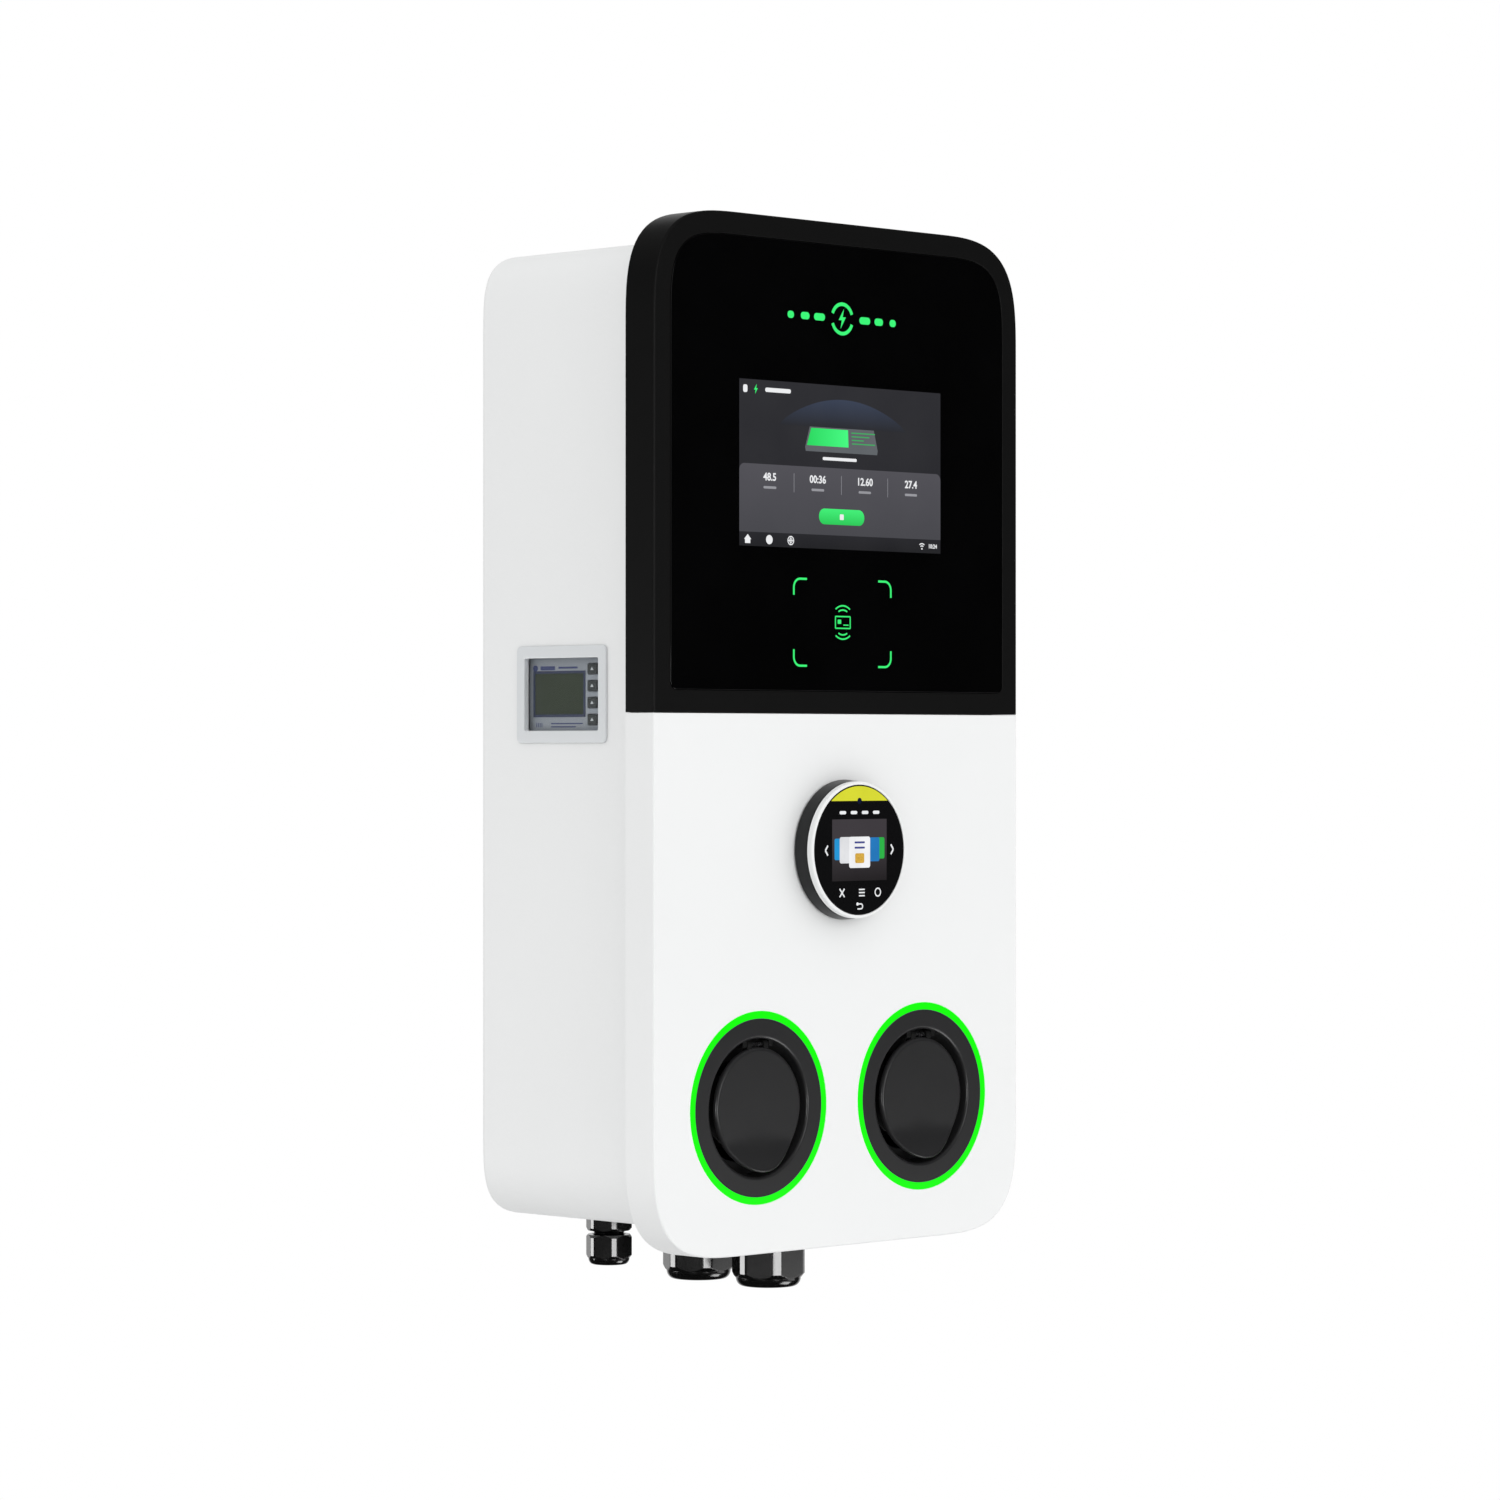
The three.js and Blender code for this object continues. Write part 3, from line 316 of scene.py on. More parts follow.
def lit(name, colour, strength=1.0, spread=0.03, scale=60, body=0.02, roughness=0.25):
    """A printed or back-lit mark that glows in its own colour, with a slight unevenness."""
    surface = Surface(name, roughness, specular=0.2)
    pattern = surface.noise(scale, 2.0)
    glow = surface.ramp(pattern, scaled(colour, 1 - spread), scaled(colour, 1 + spread))
    base = surface.ramp(pattern, scaled(colour, body), scaled(colour, body * 1.3))
    surface.link(base, surface.shader.inputs["Base Color"])
    surface.link(glow, surface.shader.inputs["Emission Color"])
    surface.shader.inputs["Emission Strength"].default_value = strength
    return surface.material


def faded(name, low, high, start, end, axis="Z", strength=1.0):
    """A glowing field whose colour runs along one axis between two places in millimetres."""
    surface = Surface(name, 0.2, specular=0.2)
    split = surface.node("ShaderNodeSeparateXYZ")
    surface.link(surface.place, split.inputs["Vector"])
    reach = surface.node("ShaderNodeMapRange")
    reach.inputs["From Min"].default_value = start * MM
    reach.inputs["From Max"].default_value = end * MM
    surface.link(split.outputs[axis], reach.inputs["Value"])
    glow = surface.ramp(reach.outputs["Result"], low, high, 0.0, 1.0)
    surface.link(glow, surface.shader.inputs["Emission Color"])
    surface.shader.inputs["Emission Strength"].default_value = strength
    surface.link(surface.ramp(surface.noise(30), (0, 0, 0, 1), (0.004, 0.004, 0.004, 1)),
                 surface.shader.inputs["Base Color"])
    return surface.material


def clear_pane(name):
    """Thin clear plastic that mostly lets the view through and keeps a faint gloss."""
    surface = Surface(name, 0.06, specular=0.5)
    surface.vary((0.75, 0.78, 0.8, 1), 0.03, 20)
    surface.wear(0.06, 0.03, 40)
    surface.shader.inputs["Alpha"].default_value = 0.015
    return surface.material


def printed(name, colour, spread=0.03, roughness=0.45, scale=40):
    surface = Surface(name, roughness, specular=0.3)
    surface.vary(colour, spread, scale)
    surface.bump(surface.noise(1400, 1.0), 0.000008)
    return surface.material


WHITE = screen_colour(231, 232, 232)
MATERIALS = {
    "white_coating": coated("white_coating", WHITE),
    "white_plastic": moulded("white_plastic", WHITE, 0.48, 1600, 0.000008, 0.35, 0.006),
    "black_plastic": moulded("black_plastic", screen_colour(15, 15, 15), 0.4, 1500, 0.00001, 0.16),
    "black_glass": gloss_black("black_glass"),
    "gasket_rubber": rubber("gasket_rubber"),
    "galvanised_steel": galvanised("galvanised_steel"),
    "stainless_steel": brushed("stainless_steel", (0.55, 0.56, 0.57, 1), 0.28),
    "display_module": moulded("display_module", (0.05, 0.052, 0.055, 1), 0.4, 900, 0.00002),
    "circuit_board": circuit_green("circuit_board"),
    "socket_plastic": moulded("socket_plastic", screen_colour(35, 35, 36), 0.3, 1300, 0.00003, 0.5, 0.06),
    "green_light": lit("green_light", screen_colour(20, 255, 10), 1.0, 0.02, 40),
    "device_dark": moulded("device_dark", (0.04, 0.042, 0.045, 1), 0.5, 1100, 0.00002),
    "device_grey": moulded("device_grey", (0.55, 0.56, 0.57, 1), 0.5, 1100, 0.00002),
    "meter_grey": moulded("meter_grey", screen_colour(140, 147, 155), 0.45, 1200, 0.00001),
    "meter_key": moulded("meter_key", screen_colour(48, 55, 55), 0.5, 1200, 0.00002),
    "window_clear": moulded("window_clear", screen_colour(214, 217, 219), 0.3, 700, 0.00001, 0.5),
    "gland_plastic": moulded("gland_plastic", screen_colour(11, 11, 11), 0.17, 900, 0.000006, 0.85),
}

# Materials that only a few pieces use.
TERMINAL_BLACK = moulded("terminal_black", screen_colour(28, 29, 30), 0.3, 1400, 0.00001, 0.25)
TERMINAL_GLASS = moulded("terminal_glass_black", screen_colour(14, 14, 15), 0.08, 30, 0.000001, 0.2)
JOINT_SHADE = printed("joint_shade", screen_colour(70, 24, 86))
SOCKET_INNER = moulded("socket_inner", screen_colour(36, 36, 37), 0.5, 1300, 0.00002, 0.35, 0.05)
# Hinge pins and springs are bright steel on the real thing; this near-black steel is painted shade of the
# hinge notch they sit in.
SHADED_HINGE_STEEL = brushed("shaded_hinge_steel", (0.05, 0.05, 0.052, 1), 0.4)
# Hinge lugs and flap arms: the socket plastic darkened to about half, as painted shade of the hinge notch.
SHADED_HINGE_PLASTIC = moulded("shaded_hinge_plastic", screen_colour(18, 18, 18), 0.55, 1300, 0.00002, 0.15)
SILVERED = brushed("silvered_contact", (0.8, 0.78, 0.74, 1), 0.22)
GREEN = screen_colour(60, 245, 120)
PANE = clear_pane("window_pane")
KEY_MARK = printed("key_mark", screen_colour(190, 196, 198))

# ---- Mesh helpers ----


class Shell:
    """Points in millimetres and faces, gathered ring by ring."""

    def __init__(self):
        self.points = []
        self.faces = []

    def ring(self, points):
        first = len(self.points)
        self.points.extend(points)
        return list(range(first, len(self.points)))

    def bridge(self, near, far):
        count = len(near)
        for here in range(count):
            there = (here + 1) % count
            self.faces.append((near[here], near[there], far[there], far[here]))

    def loft(self, rings):
        made = [self.ring(points) for points in rings]
        for near, far in zip(made, made[1:]):
            self.bridge(near, far)
        return made

    def cap(self, *loops):
        """Fills the flat area between an outer loop and any loops inside it."""
        order = [index for loop in loops for index in loop]
        corners = [[Vector(self.points[index]) for index in loop] for loop in loops]
        for triangle in tessellate_polygon(corners):
            self.faces.append(tuple(order[corner] for corner in triangle))

    def face(self, loop):
        self.faces.append(tuple(loop))


def mesh_object(name, shell, sharp=32):
    mesh = bpy.data.meshes.new(name)
    mesh.from_pydata([Vector(point) * MM for point in shell.points], [], shell.faces)
    work = bmesh.new()
    work.from_mesh(mesh)
    bmesh.ops.recalc_face_normals(work, faces=work.faces)
    work.to_mesh(mesh)
    work.free()
    mesh.shade_smooth()
    mesh.set_sharp_from_angle(angle=math.radians(sharp))
    made = bpy.data.objects.new(name, mesh)
    bpy.context.scene.collection.objects.link(made)
    return made


def even_normals(piece):
    modifier = piece.modifiers.new("even_normals", "WEIGHTED_NORMAL")
    modifier.keep_sharp = True


def settle(piece, slot, body=STATION, material=None, stands_for=()):
    """Gives a piece its material (from its slot unless one is given) and its body, and hides the CAD nodes it
    stands for.
    """
    piece.data.materials.clear()
    piece.data.materials.append(material or MATERIALS[slot])
    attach(piece, body)
    if stands_for:
        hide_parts(*stands_for)
    return piece


def build(name, shell, slot, body=STATION, material=None, stands_for=(), sharp=32):
    piece = mesh_object(name, shell, sharp)
    even_normals(piece)
    return settle(piece, slot, body, material, stands_for)


def combine(piece, tool, operation):
    """Cuts or joins another mesh object into a piece and deletes that object."""
    modifier = piece.modifiers.new("combine", "BOOLEAN")
    modifier.operation = operation
    modifier.solver = "EXACT"
    modifier.object = tool
    depsgraph = bpy.context.evaluated_depsgraph_get()
    result = bpy.data.meshes.new_from_object(piece.evaluated_get(depsgraph))
    piece.modifiers.remove(modifier)
    piece.data = result
    bpy.data.objects.remove(tool)
    result.shade_smooth()
    result.set_sharp_from_angle(angle=math.radians(32))


def block(shell, x_span, depth_span, z_span):
    """Adds a plain box, used as a cutting tool or as the core of a bevelled piece."""
    (x0, x1), (near, far), (z0, z1) = x_span, depth_span, z_span
    corners = [(x0, z0), (x1, z0), (x1, z1), (x0, z1)]
    front, back = shell.loft([[(x, FRONT + depth, z) for x, z in corners] for depth in (near, far)])
    shell.face(front)
    shell.face(back)


def span(first, second):
    return tuple(sorted((first, second)))


# ---- Outlines in X and Z ----


def soft_rectangle(half_width, bottom, top, upper, lower):
    """A rectangle with superellipse corners, each (length, exponent), as (x, z) points."""
    outline = []
    for side_x, side_z, (length, exponent) in (
        (1, 1, upper), (-1, 1, upper), (-1, -1, lower), (1, -1, lower),
    ):
        turns = range(CORNER_STEPS + 1)
        if side_x * side_z < 0:
            turns = reversed(turns)
        for step in turns:
            angle = step / CORNER_STEPS * math.pi / 2
            cosine, sine = math.cos(angle), math.sin(angle)
            reach = (cosine ** exponent + sine ** exponent) ** (-1 / exponent)
            edge = top if side_z > 0 else bottom
            outline.append((
                side_x * (half_width - length + length * reach * cosine),
                edge + side_z * (length * reach * sine - length),
            ))
    return outline


def cover_corner(inset):
    length = CORNER - inset
    diagonal = CORNER * (1 - 2 ** (-1 / CORNER_SHAPE)) - inset * (1 - math.sqrt(0.5))
    return length, -math.log(2) / math.log(1 - diagonal / length)


def lower_outline(inset, seam):
    half = COVER_HALF - inset
    return soft_rectangle(half, COVER_BOTTOM + inset, LOWER_EDGE - seam, TIGHT, cover_corner(inset))


def upper_outline(inset, seam):
    half = COVER_HALF - inset
    return soft_rectangle(half, UPPER_EDGE + seam, COVER_TOP - inset, cover_corner(inset), TIGHT)


def whole_outline(inset):
    corner = cover_corner(inset)
    return soft_rectangle(COVER_HALF - inset, COVER_BOTTOM + inset, COVER_TOP - inset, corner, corner)


def glass_outline(margin):
    inset = GLASS_INSET - margin
    lower = (GLASS_CORNER + max(margin, 1 - GLASS_CORNER), 2)
    half = COVER_HALF - inset
    return soft_rectangle(half, GLASS_BOTTOM - margin, COVER_TOP - inset, cover_corner(inset), lower)


def circle(radius, x, z, count=96):
    turns = [2 * math.pi * step / count for step in range(count)]
    return [(x + radius * math.cos(turn), z + radius * math.sin(turn)) for turn in turns]


def at_depth(outline, depth):
    return [(x, FRONT + depth, z) for x, z in outline]


def rounding(radius, steps=6):
    """(inset, depth) pairs of a rounded front edge, from the face round to the side."""
    turns = [step / steps * math.pi / 2 for step in range(steps + 1)]
    return [(radius * (1 - math.sin(turn)), radius * (1 - math.cos(turn))) for turn in turns]


# ---- Covers, glass and housing ----


def lower_cover():
    shell = Shell()
    edge = [(inset, inset * SEAM_SHARE, depth) for inset, depth in rounding(COVER_ROUND)]
    rear = [(0, 0, COVER_DEPTH - 0.4), (0.4, 0.1, COVER_DEPTH), (WALL - 0.4, WALL, COVER_DEPTH),
            (WALL, WALL, COVER_DEPTH - 0.4), (WALL, WALL, WALL)]
    rings = shell.loft(at_depth(lower_outline(inset, seam), depth) for inset, seam, depth in edge + rear)
    holes = [(0, TERMINAL_Z, 29.3)]
    holes += [(side * SOCKET_X, SOCKET_Z, RING_OUTER + 0.1) for side, _ in SIDES]
    tunnels = []
    for x, z, radius in holes:
        profile = [(-inset, depth) for inset, depth in rounding(0.25, 3)] + [(0, WALL)]
        tunnels.append(shell.loft(at_depth(circle(radius - inset, x, z), depth)
                                  for inset, depth in profile))
    shell.cap(rings[0], *[tunnel[0] for tunnel in tunnels])
    shell.cap(rings[-1], *[tunnel[-1] for tunnel in tunnels])
    cover = mesh_object("lower_cover_shell", shell)
    tools = Shell()
    for _, label in SIDES:
        centre = middle("cover_screw_" + label)
        steps = ((4.3, -1), (4.3, 2.2), (2.6, 2.2), (2.6, WALL + 1))
        rings = tools.loft([(a, b, COVER_BOTTOM + rise) for a, b in circle(radius, centre.x, centre.y, 48)]
                           for radius, rise in steps)
        tools.face(rings[0])
        tools.face(rings[-1])
    combine(cover, mesh_object("cutting_tools", tools), "DIFFERENCE")
    even_normals(cover)
    settle(cover, "white_plastic", stands_for=["lower_front_cover"])


def upper_cover():
    shell = Shell()
    edge = [(inset, inset * SEAM_SHARE, depth) for inset, depth in rounding(COVER_ROUND)]
    rear = [(0, 0, COVER_DEPTH - 0.4), (0.4, 0.1, COVER_DEPTH), (WALL - 0.4, WALL, COVER_DEPTH),
            (WALL, WALL, COVER_DEPTH - 0.4), (WALL, WALL, WALL + 2)]
    outer = shell.loft(at_depth(upper_outline(inset, seam), depth) for inset, seam, depth in edge + rear)
    ledge = GLASS_THICK + GAP
    seat = [(GAP + inset, depth) for inset, depth in rounding(0.4, 3)]
    seat += [(GAP, ledge), (-8, ledge), (-8, WALL + 2)]
    inner = shell.loft(at_depth(glass_outline(margin), depth) for margin, depth in seat)
    shell.bridge(outer[0], inner[0])
    shell.bridge(outer[-1], inner[-1])
    build("upper_cover_frame", shell, "black_plastic", stands_for=["upper_front_cover"])


def display_panel():
    shell = Shell()
    profile = [(-inset, depth) for inset, depth in rounding(0.4, 4)]
    profile += [(0, GLASS_THICK - 0.3), (-0.3, GLASS_THICK)]
    rings = shell.loft(at_depth(glass_outline(margin), depth) for margin, depth in profile)
    shell.face(rings[0])
    shell.face(rings[-1])
    build("display_panel", shell, "black_glass", stands_for=["display_glass"])


def rear_shell():
    shell = Shell()
    inset = COVER_HALF - HOUSING_SIDE
    rim_rear = COVER_DEPTH - GAP
    hollow = (inset + WALL, FLANGE_FRONT)
    rim = [(WALL + GAP + 0.4, FLANGE_FRONT), (WALL + GAP, FLANGE_FRONT + 0.4),
           (WALL + GAP, rim_rear - 0.4), (WALL + GAP + 0.4, rim_rear)]
    fillet = 2.5
    turns = [step / 6 * math.pi / 2 for step in range(7)]
    neck = [(inset - fillet * (1 - math.sin(turn)), rim_rear + fillet * (1 - math.cos(turn)))
            for turn in turns]
    back = [(inset + cut, HOUSING_REAR - depth) for cut, depth in reversed(rounding(REAR_ROUND, 8))]
    outer = shell.loft(at_depth(whole_outline(edge), depth) for edge, depth in [hollow, *rim, *neck, *back])
    inner = shell.loft(at_depth(whole_outline(inset + WALL), depth)
                       for depth in (FLANGE_FRONT, HOUSING_REAR - WALL))
    shell.bridge(outer[0], inner[0])

    def recess_ring(grow, depth):
        corner = (5 + grow, 2)
        outline = soft_rectangle(RECESS_HALF + grow, RECESS_BOTTOM - grow, RECESS_TOP + grow, corner, corner)
        return at_depth(outline, depth)

    floor = HOUSING_REAR - RECESS_DEPTH
    mouth = [(1, HOUSING_REAR), (0.3, HOUSING_REAR - 0.3), (0, HOUSING_REAR - 1), (0, floor)]
    pocket = shell.loft(recess_ring(grow, depth) for grow, depth in mouth)
    lining = shell.loft(recess_ring(WALL, depth) for depth in (HOUSING_REAR - WALL, floor - WALL))
    slots = []
    for side, _ in SIDES:
        outline = soft_rectangle(HOOK_SLOT_HALF, HOOK_SLOT_BOTTOM, HOOK_SLOT_TOP, (1, 2), (1, 2))
        moved = [(x + side * HOOK_SLOT_X, z) for x, z in outline]
        slots.append(shell.loft(at_depth(moved, depth) for depth in (floor, floor - WALL)))
    shell.cap(outer[-1], pocket[0])
    shell.cap(pocket[-1], *[slot[0] for slot in slots])
    shell.cap(lining[-1], *[slot[-1] for slot in slots])
    shell.cap(inner[-1], lining[0])
    housing = mesh_object("rear_shell", shell)

    tools = Shell()
    for side, _ in SIDES:
        block(tools, span(side * (HOUSING_SIDE - WALL - 1), side * (HOUSING_SIDE + 1)),
              (METER_DEPTH - SIDE_HOLE_HALF_DEPTH, METER_DEPTH + SIDE_HOLE_HALF_DEPTH),
              (METER_Z - SIDE_HOLE_HALF_HEIGHT, METER_Z + SIDE_HOLE_HALF_HEIGHT))
    for name in GLANDS:
        low, high = extent(name + "_lock_nut")
        centre = (low + high) / 2
        reach = (high.x - low.x) * 0.36
        base = COVER_BOTTOM + inset
        rings = tools.loft(
            [(x, y, z) for x, y in circle(reach, centre.x, centre.y, 48)] for z in (base - 2, base + WALL + 2)
        )
        tools.face(rings[0])
        tools.face(rings[1])
    combine(housing, mesh_object("cutting_tools", tools), "DIFFERENCE")
    even_normals(housing)
    settle(housing, "white_coating", stands_for=["rear_housing"])


# ---- Turned pieces ----


def turned(shell, profile, x, z, count=128, closed=True):
    """Turns (radius, depth) points about a line towards the wall; the profile closes on itself."""
    rings = shell.loft(at_depth(circle(radius, x, z, count), depth) for radius, depth in profile)
    if closed:
        shell.bridge(rings[-1], rings[0])
    else:
        shell.face(rings[0])
        shell.face(rings[-1])
    return rings


def arc(centre, radius, start, end, steps):
    """(radius, depth) points on an arc, angles in degrees."""
    turns = [math.radians(start + (end - start) * step / steps) for step in range(steps + 1)]
    return [(centre[0] + radius * math.cos(turn), centre[1] + radius * math.sin(turn)) for turn in turns]


def terminal():
    face = TERMINAL_FACE
    shell = Shell()
    side = [(28.8, 20), (28.8, 0.2), (TERMINAL_RADIUS - 1.2, 0.2), (TERMINAL_RADIUS - 0.9, -GAP),
            (TERMINAL_RADIUS - 0.4, -1), (TERMINAL_RADIUS, -1.6), (TERMINAL_RADIUS, -2.2),
            (TERMINAL_RADIUS - 0.8, face + 5.4), (TERMINAL_RADIUS - 1.2, face + 4.7),
            (TERMINAL_RADIUS - 1.6, face + 4.6), (38, face + 4.6), (38, face + 2.2), (1, face + 2.2)]
    turned(shell, [(1, 20)] + side, 0, TERMINAL_Z, closed=False)
    build("terminal_case", shell, "black_plastic", material=TERMINAL_BLACK, stands_for=["terminal_body"])

    shell = Shell()
    profile = [(39.7, face + 4.3), (41.5, face + 4.3), (41.8, face + 4)]
    profile += arc((40.6, face + 1.2), 1.2, 0, -90, 8) + arc((40.2, face + 0.5), 0.5, -90, -180, 4)
    turned(shell, profile, 0, TERMINAL_Z)
    build("terminal_trim_ring", shell, "white_plastic", stands_for=["terminal_ring"])

    shell = Shell()
    profile = [(1, face + 0.2), (39.1, face + 0.2), (39.35, face + 0.35), (39.4, face + 0.6),
               (39.4, face + 1.9), (1, face + 1.9)]
    turned(shell, profile, 0, TERMINAL_Z, closed=False)
    build("terminal_front_glass", shell, "black_glass", material=TERMINAL_GLASS,
          stands_for=["terminal_glass"])


# ---- Sockets ----


def light_ring(side, label):
    shell = Shell()
    profile = [(RING_INNER, 0.25), (RING_INNER + 0.25, 0), (RING_OUTER - 0.25, 0), (RING_OUTER, 0.25),
               (RING_OUTER, WALL), (RING_INNER, WALL)]
    turned(shell, profile, side * SOCKET_X, SOCKET_Z)
    build("halo_ring_" + label, shell, "green_light", stands_for=["light_ring_" + label])

    shell = Shell()
    turned(shell, [(BEZEL_OUTER, 0.12), (RING_INNER, 0.12), (RING_INNER, 1), (BEZEL_OUTER, 1)],
           side * SOCKET_X, SOCKET_Z)
    build("halo_joint_" + label, shell, "socket_plastic", material=JOINT_SHADE)


def bezel(side, label):
    x = side * SOCKET_X
    edge = 2
    front = WALL + GAP
    shell = Shell()
    profile = [(BEZEL_HOLE, BEZEL_TUBE), (BEZEL_HOLE + WALL, BEZEL_TUBE), (BEZEL_HOLE + WALL, front + WALL),
               (RING_OUTER + 4, front + WALL), (RING_OUTER + 4, front), (BEZEL_OUTER, front),
               (BEZEL_OUTER, 0.3), (BEZEL_OUTER - 0.3, 0)]
    profile += arc((BEZEL_HOLE + edge, edge), edge, -90, -180, 10)
    turned(shell, profile, x, SOCKET_Z)
    piece = mesh_object("socket_surround_" + label, shell)
    rise = SOCKET_Z + HINGE_RISE
    tool = Shell()
    block(tool, (x - 12.8, x + 12.8), (1.6, 10), (rise - 4, rise + 4.8))
    combine(piece, mesh_object("notch", tool), "DIFFERENCE")
    even_normals(piece)
    settle(piece, "socket_plastic", stands_for=["socket_bezel_" + label])

    for end, word in ((-1, "a"), (1, "b")):
        lug = Shell()
        outline = [(HINGE_DEPTH + dy, rise + dz) for dy, dz in
                   [(-2, -1), (-1, -2), (5.5, -2), (5.5, 5.4), (-0.6, 5.4), (-2, 3.5)]]
        across = span(x + end * 9.3, x + end * 12.7)
        rings = lug.loft([(across[0], FRONT + depth, z) for depth, z in outline] if k == 0 else
                         [(across[1], FRONT + depth, z) for depth, z in outline] for k in (0, 1))
        lug.face(rings[0])
        lug.face(rings[1])
        made = mesh_object("hinge_lug_%s_%s" % (label, word), lug)
        soften(made, 0.3)
        # The darker plastic is painted shade of the hinge notch.
        settle(made, "socket_plastic", material=SHADED_HINGE_PLASTIC)


def soften(piece, width, segments=2):
    """Rounds the edges of a piece; width in millimetres."""
    weld = piece.modifiers.new("weld", "WELD")
    weld.merge_threshold = 0.00002
    bevel = piece.modifiers.new("bevel", "BEVEL")
    bevel.width = width * MM
    bevel.segments = segments
    bevel.limit_method = "ANGLE"
    bevel.angle_limit = math.radians(35)
    bevel.harden_normals = False
    even_normals(piece)


def flap_half_width(height):
    if height >= 0:
        return math.sqrt(max(0, FLAP_RADIUS ** 2 - height ** 2))
    return FLAP_RADIUS * max(0, 1 - (-height / LIP_DROP) ** LIP_TAPER) ** LIP_ROUND


def flap_lift(height):
    return LIP_LIFT * (max(0, -LIP_START - height) / (LIP_DROP - LIP_START)) ** 2


def flap(side, label):
    """The closed flap: a dished disc with a rounded rim and a finger lip that curls forwards."""
    x = side * SOCKET_X
    count = 96
    rim = []
    for step in range(count):
        turn = 2 * math.pi * step / count
        height = (FLAP_RADIUS if math.sin(turn) >= 0 else LIP_DROP) * math.sin(turn)
        rim.append((math.copysign(flap_half_width(height), math.cos(turn)), height))
    thick = 3.2
    edge = 2.2
    rings = []
    scales = [0.02, 0.15, 0.3, 0.45, 0.6, 0.72, 0.82, 0.9, 0.94]

    def ring(scale, inset, depth):
        points = []
        for across, height in rim:
            reach = math.hypot(across, height)
            share = scale * (reach - inset) / reach
            a, h = across * share, height * share
            points.append((x + a, FRONT + depth - flap_lift(h), SOCKET_Z + h))
        return points

    rings += [ring(scale, 0, 0) for scale in scales]
    rings += [ring(1, inset, depth) for inset, depth in rounding(edge, 6)]
    rings += [ring(1, inset, thick - depth) for inset, depth in reversed(rounding(0.4, 3))]
    rings += [ring(scale, 0, thick) for scale in reversed(scales)]
    shell = Shell()
    made = shell.loft(rings)
    shell.face(made[0])
    shell.face(made[-1])
    body = "flap_" + label
    build("flap_disc_" + label, shell, "socket_plastic", body, stands_for=["socket_flap_" + label])

    rise = SOCKET_Z + HINGE_RISE
    for end, word in ((-1, "a"), (1, "b")):
        arm = Shell()
        across = span(x + end * 5, x + end * 8.8)
        outline = [(1.4, SOCKET_Z + 31), (6.7, SOCKET_Z + 31)]
        outline += [(HINGE_DEPTH + 2.2 * math.cos(math.radians(t)), rise + 2.2 * math.sin(math.radians(t)))
                    for t in range(0, 181, 15)]
        loops = arm.loft([(edge_x, FRONT + depth, z) for depth, z in outline] for edge_x in across)
        arm.face(loops[0])
        arm.face(loops[1])
        made = mesh_object("flap_arm_%s_%s" % (label, word), arm)
        soften(made, 0.3)
        # The darker plastic is painted shade of the hinge notch.
        settle(made, "socket_plastic", body, SHADED_HINGE_PLASTIC)


def flat_topped(radius, flat, x, z, inset=0.0, count=128):
    """A circle cut off by a level line, with its two corners kept."""
    radius, flat = radius - inset, flat - inset
    start = math.asin(min(1, flat / radius))
    arc_turns = [math.pi - start + (math.pi + 2 * start) * step / (count - 17)
                 for step in range(count - 16)]
    points = [(x + radius * math.cos(turn), z + radius * math.sin(turn)) for turn in arc_turns]
    half = radius * math.cos(start)
    points += [(x + half - 2 * half * step / 17, z + flat) for step in range(1, 17)]
    return points


def insert(side, label):
    """The vehicle socket behind the flap: face plate, recess, core and contact holes."""
    x = side * SOCKET_X
    face = BEZEL_TUBE + GAP
    floor, core_face = 50, 20
    shell = Shell()
    outer = [(SOCKET_FLANGE, face), (SOCKET_FLANGE, face + 4), (SOCKET_BODY, face + 4),
             (SOCKET_BODY, SOCKET_REAR)]
    body = shell.loft(at_depth(circle(radius, x, SOCKET_Z, 128), depth) for radius, depth in outer)
    shell.face(body[-1])
    recess_profile = [(-inset, face + depth) for inset, depth in rounding(0.8, 4)] + [(0, floor)]
    recess = shell.loft(at_depth(flat_topped(*SOCKET_RECESS, x, SOCKET_Z, inset), depth)
                        for inset, depth in recess_profile)
    core_profile = [(0, floor), (0, core_face + 1), (0.3, core_face + 0.3), (1, core_face)]
    core = shell.loft(at_depth(flat_topped(*SOCKET_CORE, x, SOCKET_Z, inset), depth)
                      for inset, depth in core_profile)
    shell.cap(body[0], recess[0])
    shell.cap(recess[-1], core[0])
    holes = []
    for dx, dz, radius in CONTACTS:
        profile = [(radius + 0.5, core_face), (radius, core_face + 0.5), (radius, core_face + 24)]
        hole = shell.loft(at_depth(circle(r, x + dx, SOCKET_Z + dz, 32), depth) for r, depth in profile)
        shell.face(hole[-1])
        holes.append(hole[0])
    shell.cap(core[-1], *holes)
    piece = mesh_object("vehicle_socket_" + label, shell)
    lock = middle("lock_pin_" + label)
    radius = (extent("lock_pin_" + label)[1].x - extent("lock_pin_" + label)[0].x) / 2 + 0.4
    tool = Shell()
    rings = tool.loft([(a, b, SOCKET_Z + rise) for a, b in circle(radius, lock.x, lock.y, 40)]
                      for rise in (22, 42))
    tool.face(rings[0])
    tool.face(rings[1])
    combine(piece, mesh_object("lock_hole", tool), "DIFFERENCE")
    even_normals(piece)
    settle(piece, "socket_plastic", material=SOCKET_INNER, stands_for=["socket_insert_" + label])

    sleeves = Shell()
    for dx, dz, radius in CONTACTS:
        wall = radius * 0.28
        profile = [(radius - 0.1, core_face + 4), (radius - 0.1, core_face + 22),
                   (radius - wall, core_face + 22), (radius - wall, core_face + 4)]
        turned(sleeves, profile, x + dx, SOCKET_Z + dz, 32)
    build("contact_sleeves_" + label, sleeves, "stainless_steel", material=SILVERED)


# ---- Cable glands ----


